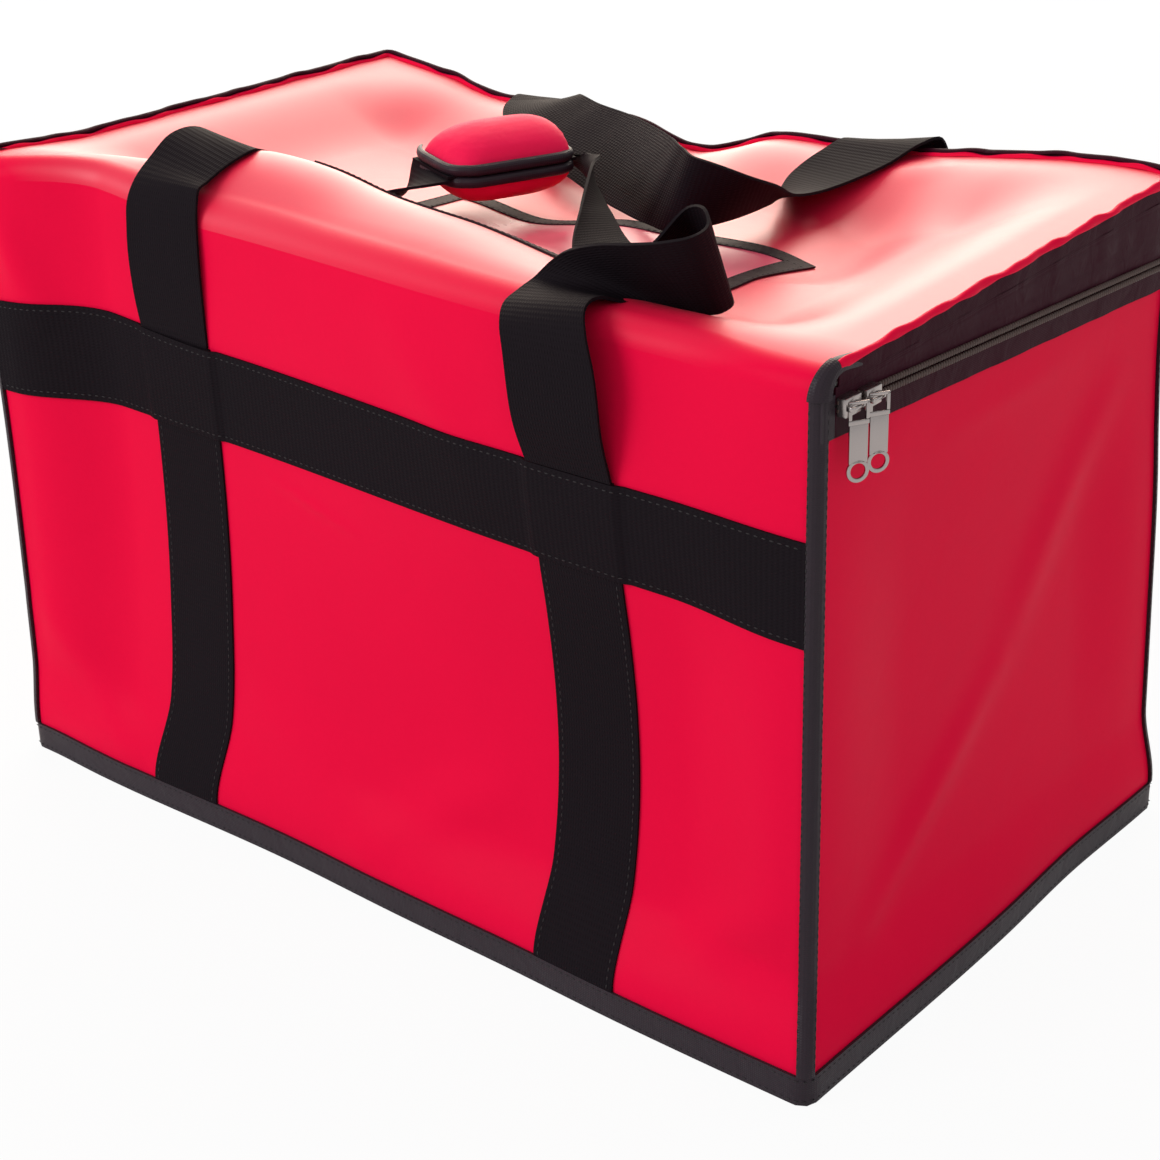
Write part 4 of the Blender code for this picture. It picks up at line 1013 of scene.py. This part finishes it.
# Grip wrap: two padded halves that close on the webbing
grip = {
    "centre": (-0.0555, 0.0145, 0.353), "turn": -23.6, "length": 0.070, "halfWidth": 0.028,
    "halfHeight": 0.0195, "gap": 0.0010, "rim": 0.0022, "binding": 0.0019, "puff": 0.0030,
    "voxel": 0.0025, "cap": 0.92, "bindingRun": 0.19, "bindingWidth": 0.011, "bindingThick": 0.0008,
    "stripWidth": 0.014, "stripRun": 0.063, "stripThick": 0.0010, "stripStartShare": 0.46,
    "stripShare": 0.50, "stripRunShare": 0.9, "webInset": 0.004, "webPast": 0.006, "webLift": 0.0007,
}
# The lobe's outline and swell, as shares of its half sizes, and the powers of its curves
lobe = {
    "cornerStart": 0.3, "cornerPower": 2.5, "leftCorner": 0.16, "rightCorner": 0.05,
    "archPower": 0.55, "leftPower": 3.2, "leftRound": 0.62, "rightFall": 0.30, "rightPower": 5,
}
gripFrame = Matrix.Translation(grip["centre"]) @ Matrix.Rotation(math.radians(grip["turn"]), 4, "Z")
gripTurn = np.array(gripFrame.to_3x3())
gripCentre = np.array(grip["centre"])


def gripPlace(across, along, up):
    return np.stack([across, along, up], axis=1) @ gripTurn.T + gripCentre


# Shares from -1 to 1: across from the spine to the mouth, along from end to end
def lobeAt(side, across, along, full=1.0, lift=0.0):
    start = lobe["cornerStart"]
    corner = np.clip((np.abs(across) - start) / (1 - start), 0, 1) ** lobe["cornerPower"]
    arch = np.clip(1 - across * across, 0, 1) ** lobe["archPower"]
    left = np.clip(1 - np.abs(along) ** lobe["leftPower"], 0, 1) ** lobe["leftRound"]
    right = 1 - lobe["rightFall"] * np.abs(along) ** lobe["rightPower"]
    ends = np.where(along < 0, left, right)
    along = along * (1 - np.where(along < 0, lobe["leftCorner"], lobe["rightCorner"]) * corner)
    up = grip["gap"] + grip["halfHeight"] * arch * ends * full + lift
    return gripPlace(across * grip["halfWidth"], along * grip["length"] / 2, side * up)


# Round the section by u, and from end to end by v, with a cap on the open end
def lobeSurface(side):
    def place(u, v):
        turn = 2 * math.pi * u
        full = np.where(np.mod(u, 1.0) < 0.5, 1.0, 0.0) * np.clip((1 - v) / (1 - grip["cap"]), 0, 1)
        return lobeAt(side, np.cos(turn), -1 + 2 * np.minimum(v / grip["cap"], 1), full)
    return place


# The modifiers' result takes the place of the mesh
def applyModifiers(made):
    bpy.context.view_layer.update()
    solved = made.evaluated_get(bpy.context.evaluated_depsgraph_get())
    made.data = bpy.data.meshes.new_from_object(solved)
    made.modifiers.clear()


pillow = {
    "quality": 6, "mass": 0.3, "tension": 12, "bending": 0.4, "pressure": 4, "frames": 20,
    "least": 0.0002, "crownStart": 0.1, "edgePower": 0.5,
}


# The pad is blown up a little by the cloth solver, and held near its bound rim
def puffUp(made):
    made.data.validate()
    step = made.modifiers.new("remesh", "REMESH")
    step.mode = "VOXEL"
    step.voxel_size = grip["voxel"]
    applyModifiers(made)
    rest = np.array([vert.co for vert in made.data.vertices])
    scene = bpy.context.scene
    cloth = made.modifiers.new("cloth", "CLOTH")
    settings = cloth.settings
    settings.quality = pillow["quality"]
    settings.mass = pillow["mass"]
    settings.tension_stiffness = settings.compression_stiffness = pillow["tension"]
    settings.bending_stiffness = pillow["bending"]
    settings.use_pressure = True
    settings.uniform_pressure_force = pillow["pressure"]
    settings.effector_weights.gravity = 0
    cloth.point_cache.frame_start, cloth.point_cache.frame_end = 1, pillow["frames"]
    for number in range(1, pillow["frames"] + 1):
        scene.frame_set(number)
    solved = made.evaluated_get(bpy.context.evaluated_depsgraph_get())
    move = np.array([vert.co for vert in solved.data.vertices]) - rest
    scene.frame_set(1)
    made.modifiers.clear()
    x, y, z = ((rest - gripCentre) @ gripTurn).T
    inner = (1 - (x / grip["halfWidth"]) ** 2) * (1 - (2 * y / grip["length"]) ** 2)
    crown = np.clip(np.abs(z) / grip["halfHeight"] - pillow["crownStart"], 0, 1)
    fade = np.clip(inner, 0, 1) ** pillow["edgePower"]
    cap = grip["puff"] * crown * fade + pillow["least"]
    size = np.linalg.norm(move, axis=1)
    rest = rest + move * (np.minimum(size, cap) / np.maximum(size, 1e-9))[:, None]
    made.data.vertices.foreach_set("co", rest.ravel())
    smooth = made.modifiers.new("smooth", "SUBSURF")
    smooth.levels = smooth.render_levels = 1
    applyModifiers(made)
    made.data.shade_smooth()


rim = {
    "end": 0.96, "cornerReach": 0.16, "cornerPull": 0.10, "openStart": 0.72, "openFade": 0.14,
    "openShare": 0.62, "wrapHalfTurns": 1.16, "clear": 0.0002, "ahead": 0.004,
}


# The bound rim: up one end, along the mouth and back down the other end
def rimShares(t):
    t = np.clip(t, 0, 1) * 3
    span = 1 + rim["end"]
    across = np.where(t < 1, span * t - rim["end"], np.where(t > 2, 1 - span * (t - 2), 1))
    along = np.where(t < 1, -1, np.where(t > 2, 1, -1 + 2 * (t - 1)))
    near = np.minimum(np.abs(t - 1), np.abs(t - 2))
    pull = np.clip(1 - near / rim["cornerReach"], 0, 1) ** 2 * rim["cornerPull"]
    return across - pull * np.sign(across), along * (1 - pull)


def rimSurface(side):
    def line(t):
        across, along = rimShares(t)
        opened = smoothStep(np.where(along > 0, (t - rim["openStart"]) / rim["openFade"], 0))
        return lobeAt(side, across, along, rim["openShare"] * opened, grip["rim"])

    def place(u, v):
        up = np.array([[0.0, 0.0, 1.0]])
        outward = np.cross(line(v + rim["ahead"]) - line(v - rim["ahead"]), up)
        outward = outward / np.maximum(np.linalg.norm(outward, axis=1, keepdims=True), 1e-9)
        angle = ((u - 0.5) * math.pi * rim["wrapHalfTurns"])[:, None]
        reach = np.cos(angle) * grip["binding"] + rim["clear"]
        return line(v) + outward * reach + up * np.sin(angle) * grip["rim"]
    return place


# The soft and hooked strips that close the mouth show as a dark line
def stripSurface(side):
    def place(u, v):
        across = grip["stripStartShare"] + grip["stripShare"] * u
        return lobeAt(side, across, (2 * v - 1) * grip["stripRunShare"], 0.0)
    return place


for lobeName, stripName, side, body, node, stripNode in (
    ("gripPad", "loopStrip", -1, "front_handle", "grip_pad", "grip_loop_strip"),
    ("gripFlap", "hookStrip", 1, "grip_flap", "grip_flap", "grip_hook_strip"),
):
    padding = sewnSheet(
        lobeName, lobeSurface(side), (48, 36), (4 * grip["halfWidth"], grip["length"]), 0.0, gripRed,
        body, node, flip=side < 0, merge=True,
    )
    puffUp(padding)
    sewnSheet(
        f"{lobeName}Binding", rimSurface(side), (12, 90), (grip["bindingWidth"], grip["bindingRun"]),
        grip["bindingThick"], bindingBlack, body, f"{node}_binding",
    )
    sewnSheet(
        stripName, stripSurface(side), (8, 24), (grip["stripWidth"], grip["stripRun"]),
        grip["stripThick"], fastener, body, stripNode, flip=side > 0,
    )


def gripRunSurface(u, v):
    across = (u - 0.5) * (bag["webWidth"] - grip["webInset"])
    along = (v - 0.5) * (grip["length"] + grip["webPast"])
    return gripPlace(across, along, np.full_like(u, grip["webLift"]))


sewnSheet(
    "gripRun", gripRunSurface, (14, 20), (bag["webWidth"], grip["length"]), bag["webThick"],
    webbingBlack, "front_handle", "handle_front_middle",
)

# Document window on the lid: a clear film under a taped border
window = {
    "left": -0.090, "right": 0.151, "front": -0.0994, "back": 0.0249, "border": 0.0115,
    "tapeLift": 0.0013, "tapeThick": 0.0010, "filmLift": 0.0007, "filmThick": 0.0004,
}


def lidPatch(left, right, front, back, lift):
    def place(u, v):
        y = front + v * (back - front)
        return onCover(left + u * (right - left), lidStart + (y - lidFront), lift)
    return place


edge = window["border"]
left, right, front, back = (window[side] for side in ("left", "right", "front", "back"))
inside = (left + edge, right - edge, front + edge, back - edge)
borders = {
    "Front": (left, right, front, inside[2]), "Back": (left, right, inside[3], back),
    "Left": (left, inside[0], *inside[2:]), "Right": (inside[1], right, *inside[2:]),
}
for sideName, patch in borders.items():
    wide = sideName in ("Front", "Back")
    place = lidPatch(*patch, window["tapeLift"])
    strip = sewnSheet(
        f"windowBorder{sideName}", place, (80, 5) if wide else (5, 36),
        (patch[1] - patch[0], patch[3] - patch[2]), window["tapeThick"], windowTape, "lid",
    )
    if sideName == "Front":
        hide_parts("window_frame")
    stitchEdges(
        f"windowStitch{sideName}", place, "01", stitch["windowShare"], (0, 1), "binding", "lid",
        along="u" if wide else "v",
    )
sewnSheet(
    "windowFilm", lidPatch(*inside, window["filmLift"]), (80, 36),
    (inside[1] - inside[0], inside[3] - inside[2]), window["filmThick"], film, "lid", "window_film",
)
print("grip and window made")


# Padding and lining behind the cover
def innerFront(out, low, high, side):
    def place(u, v):
        x = (u - 0.5) * 2 * (halfX - side)
        return sag(np.stack([x, np.full_like(u, -halfY + out), low + v * (high - low)], axis=1))
    return place


tub = {
    "foamClear": 0.0003, "lidEdge": 0.001, "floorEdge": 0.001, "cornerRadius": 0.016,
    "wallRun": 1.655, "wallHigh": 0.310, "floor": (0.531, 0.306), "wallPadRun": 1.2,
    "basePad": (0.53, 0.31), "lidPad": (0.55, 0.32),
}
wallPatch = wallSurface(-halfY + foamFar + tub["foamClear"], foamNear, wallTop, -foamNear)
underLid = (-halfX + tub["lidEdge"], halfX - tub["lidEdge"], lidFront, lidBack - tub["lidEdge"])
liningFloorZ = tubLow + bag["liner"]
for padName, place, counts, size, body, *nodes in (
    ("frontPadding", innerFront(foamNear, foamNear, frontTop, foamNear), (90, 60),
     (2 * halfX, frontTop), "bag", "foam_front"),
    ("wallPadding", wallPatch, (300, 50), (tub["wallPadRun"], wallTop), "bag", "foam_right",
     "foam_back", "foam_left"),
    ("basePadding", floorPatch(linerNear, foamFar), (60, 40), tub["basePad"], "bag", "foam_base"),
    ("lidPadding", lidPatch(*underLid, -foamNear), (90, 60), tub["lidPad"], "lid", "foam_lid"),
):
    made = sewnSheet(padName, place, counts, size, bag["foam"], foamWhite, body, *nodes)
sewnSheet(
    "lidLining", lidPatch(*underLid, -linerFar), (90, 60),
    (2 * (halfX - tub["lidEdge"]), lidDeep - tub["lidEdge"]), -bag["liner"], liningSilver, "lid",
    "liner_lid", held="stretched",
)
sewnSheet(
    "liningLip", innerFront(linerNear, wallTop + bag["layerGap"], frontTop, linerFar), (90, 6),
    (2 * halfX - 2 * linerFar, frontTop - wallTop), bag["liner"], liningSilver, "bag", "liner_lip",
    held="stretched",
)


def liningRing(u, v):
    z = liningFloorZ + v * (wallTop - liningFloorZ)
    return sag(np.stack([*roundLoop(u, tub["cornerRadius"], linerFar, 0.0), z], axis=1))


sewnSheet(
    "liningWalls", liningRing, (320, 60), (tub["wallRun"], tub["wallHigh"]), -bag["liner"],
    liningSilver, "bag", "liner_tub", flip=True, merge=True, held="stretched",
)
sewnSheet(
    "liningFloor", floorPatch(linerFar + tub["floorEdge"], liningFloorZ), (60, 40), tub["floor"],
    bag["liner"], liningSilver, "bag", held="stretched",
)
print("padding and lining made")

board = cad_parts["base_board"]
board.data.materials.clear()
board.data.materials.append(boardGrey)

# Sliders and pulls: a bevelled body with its bail, and a pull with a slotted head and a ring tip
zipPull = {
    "yaw": -30.0, "length": 0.0365, "thick": 0.0013, "plate": 0.0088, "head": 0.0098, "slot": 0.0058,
    "ring": 0.0053, "hole": 0.0034, "bevel": 0.0004, "top": 0.0026, "side": 0.0017, "bar": 0.0016,
    "foot": 0.0022, "lap": 0.0002,
}
zipSlider = {
    "front": 0.0012, "side": 0.0004, "top": 0.0006, "toBar": 0.0024, "bailInset": 0.0014,
    "bailHalf": 0.0009, "bailHigh": 0.0012, "lap": 0.0004, "past": 0.0008, "barHigh": 0.0008,
    "barBack": 0.0007, "barPast": 0.0009, "bevel": 0.0006,
}
# Edges that turn by more than these angles are bevelled, and shaded sharp
bevelTurn, sharpTurn = 1.0, 0.6


def addBlock(work, low, high):
    low, high = Vector(low), Vector(high)
    made = bmesh.ops.create_cube(work, size=1.0)
    bmesh.ops.scale(work, vec=high - low, verts=made["verts"])
    bmesh.ops.translate(work, vec=(low + high) / 2, verts=made["verts"])


def addRing(work, centre, inner, outer, thick, steps=28):
    section = [
        work.verts.new(Vector(centre) + Vector((x, 0, -r)))
        for x, r in ((-thick, inner), (thick, inner), (thick, outer), (-thick, outer))
    ]
    edges = [work.edges.new((section[i], section[(i + 1) % 4])) for i in range(4)]
    bmesh.ops.spin(
        work, geom=section + edges, cent=centre, axis=(1, 0, 0), dvec=(0, 0, 0),
        angle=2 * math.pi, steps=steps, use_merge=True,
    )


def finishMetal(name, work, place, bevel, body, node):
    bmesh.ops.recalc_face_normals(work, faces=work.faces)
    sharp = [edge for edge in work.edges if edge.calc_face_angle(0) > bevelTurn]
    bmesh.ops.bevel(
        work, geom=sharp, offset=bevel, segments=2, profile=0.5, affect="EDGES", material=-1,
        clamp_overlap=True,
    )
    bmesh.ops.transform(work, matrix=place, verts=work.verts)
    made = linkPiece(name, work, steel, body)
    made.data.set_sharp_from_angle(angle=sharpTurn)
    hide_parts(node)


for placeName in ("front", "rear"):
    sliderNode, pullNode = f"slider_{placeName}", f"pull_{placeName}"
    low, high = (np.array(corner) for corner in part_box(sliderNode))
    pullLow, pullHigh = (np.array(corner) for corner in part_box(pullNode))
    barX, barY = (pullLow[:2] + pullHigh[:2]) / 2
    barZ = pullHigh[2] - zipPull["top"]
    work = bmesh.new()
    bodyEnd = barX - zipSlider["toBar"]
    side, roof = zipSlider["side"], zipSlider["top"]
    addBlock(
        work, (low[0] + zipSlider["front"], low[1] + side, low[2] + roof),
        (bodyEnd, high[1] - side, high[2] - roof),
    )
    bailLow, bailHigh = low[1] + zipSlider["bailInset"], high[1] - zipSlider["bailInset"]
    reach, rise = zipSlider["bailHalf"], zipSlider["bailHigh"]
    for edgeY in (bailLow, bailHigh):
        addBlock(
            work, (bodyEnd - zipSlider["lap"], edgeY - reach, barZ - rise),
            (barX + zipSlider["past"], edgeY + reach, barZ + rise),
        )
    addBlock(
        work, (barX - zipSlider["barBack"], bailLow, barZ - zipSlider["barHigh"]),
        (barX + zipSlider["barPast"], bailHigh, barZ + zipSlider["barHigh"]),
    )
    finishMetal(
        f"slider{placeName.title()}", work, Matrix.Identity(4), zipSlider["bevel"], sliderNode,
        sliderNode,
    )
    work = bmesh.new()
    half, plate, head = zipPull["thick"] / 2, zipPull["plate"] / 2, zipPull["head"] / 2
    slotEnd, top = -zipPull["slot"], zipPull["top"]
    ringZ = -zipPull["length"] + zipPull["ring"] + top
    for sign in (-1, 1):
        inner, outer = sorted((sign * (head - zipPull["side"]), sign * head))
        addBlock(work, (-half, inner, slotEnd), (half, outer, top - zipPull["lap"]))
    addBlock(work, (-half, -head, top - zipPull["bar"]), (half, head, top))
    addBlock(work, (-half, -head, slotEnd - zipPull["foot"]), (half, head, slotEnd))
    plateTop = slotEnd - zipPull["foot"] + zipPull["lap"]
    addBlock(work, (-half, -plate, ringZ + zipPull["hole"]), (half, plate, plateTop))
    addRing(work, (0, 0, ringZ), zipPull["hole"], zipPull["ring"], half)
    swing = Matrix.Rotation(math.radians(zipPull["yaw"]), 4, "Z")
    hung = Matrix.Translation((barX, barY, barZ)) @ swing
    finishMetal(f"pull{placeName.title()}", work, hung, zipPull["bevel"], pullNode, pullNode)
print("sliders and pulls made")

# Floor, light and camera: what the camera sees past the bag is plain white
studio = {
    "floor": 6.0, "floorColour": (0.62, 0.61, 0.61), "floorGlow": 0.95, "glossyGlow": 0.5,
    "floorRough": 0.9, "floorSides": 96, "below": 0.0005, "world": 0.60,
}


def seenByCamera(nodes, links):
    eye = nodes.new("ShaderNodeLightPath").outputs
    return eye, mathNode(nodes, links, "MAXIMUM", eye["Is Camera Ray"], eye["Is Transmission Ray"])


work = bmesh.new()
bmesh.ops.create_circle(
    work, cap_ends=True, segments=studio["floorSides"], radius=studio["floor"],
)
floorMaterial, nodes, links, shader = addMaterial("paleFloor")
shader.inputs["Base Color"].default_value = (*studio["floorColour"], 1)
shader.inputs["Roughness"].default_value = studio["floorRough"]
glow = nodes.new("ShaderNodeEmission")
eye, seen = seenByCamera(nodes, links)
bright = mathNode(nodes, links, "MULTIPLY_ADD", eye["Is Glossy Ray"], studio["glossyGlow"], seen)
share = mathNode(nodes, links, "MULTIPLY", bright, studio["floorGlow"])
mixed = nodes.new("ShaderNodeMixShader")
links.new(share, mixed.inputs["Fac"])
links.new(shader.outputs["BSDF"], mixed.inputs[1])
links.new(glow.outputs["Emission"], mixed.inputs[2])
links.new(mixed.outputs["Shader"], nodes["Material Output"].inputs["Surface"])
floor = linkPiece("floor", work, floorMaterial, None)
floor.location = (0, 0, -studio["below"])

world = bpy.data.worlds.new("studio")
bpy.context.scene.world = world
world.use_nodes = True
nodes, links = world.node_tree.nodes, world.node_tree.links
eye, seen = seenByCamera(nodes, links)
links.new(rangeNode(nodes, links, seen, studio["world"], 1.0), nodes["Background"].inputs["Strength"])
nodes["Background"].inputs["Color"].default_value = (1, 1, 1, 1)


def softLamp(name, place, aim, size, power, colour):
    lamp = bpy.data.lights.new(name, "AREA")
    lamp.shape = "DISK"
    lamp.size = size
    lamp.energy = power
    lamp.color = colour
    made = bpy.data.objects.new(name, lamp)
    made.location = place
    made.rotation_euler = (Vector(aim) - Vector(place)).to_track_quat("-Z", "Y").to_euler()
    bpy.context.scene.collection.objects.link(made)


lamps = {
    "lampBack": {
        "place": (-1.75, 2.15, 1.80), "aim": (0, 0, 0.25), "size": 3.6, "power": 146,
        "colour": (1.0, 0.85, 0.70),
    },
    "lampFront": {
        "place": (-1.2, -2.4, 1.6), "aim": (0, 0, 0.15), "size": 1.6, "power": 38, "colour": (1, 1, 1),
    },
}
for lampName, lamp in lamps.items():
    softLamp(lampName, **lamp)

eyePoint = {
    "azimuth": 39.909, "elevation": 25.080, "roll": -1.509, "distance": 1.345,
    "target": (0.00923, 0.0, 0.12507), "lens": 74.5, "sensor": 36,
}
turn, height = math.radians(eyePoint["azimuth"]), math.radians(eyePoint["elevation"])
behind = Vector(
    (math.sin(turn) * math.cos(height), -math.cos(turn) * math.cos(height), math.sin(height))
)
camera = bpy.data.objects.new("camera", bpy.data.cameras.new("camera"))
camera.data.lens = eyePoint["lens"]
camera.data.sensor_width = eyePoint["sensor"]
camera.location = Vector(eyePoint["target"]) + behind * eyePoint["distance"]
level = behind.to_track_quat("Z", "Y").to_matrix().to_4x4()
camera.rotation_euler = (level @ Matrix.Rotation(math.radians(eyePoint["roll"]), 4, "Z")).to_euler()
bpy.context.scene.collection.objects.link(camera)
bpy.context.scene.camera = camera
bpy.context.scene.view_settings.view_transform = "Standard"
print("studio ready")
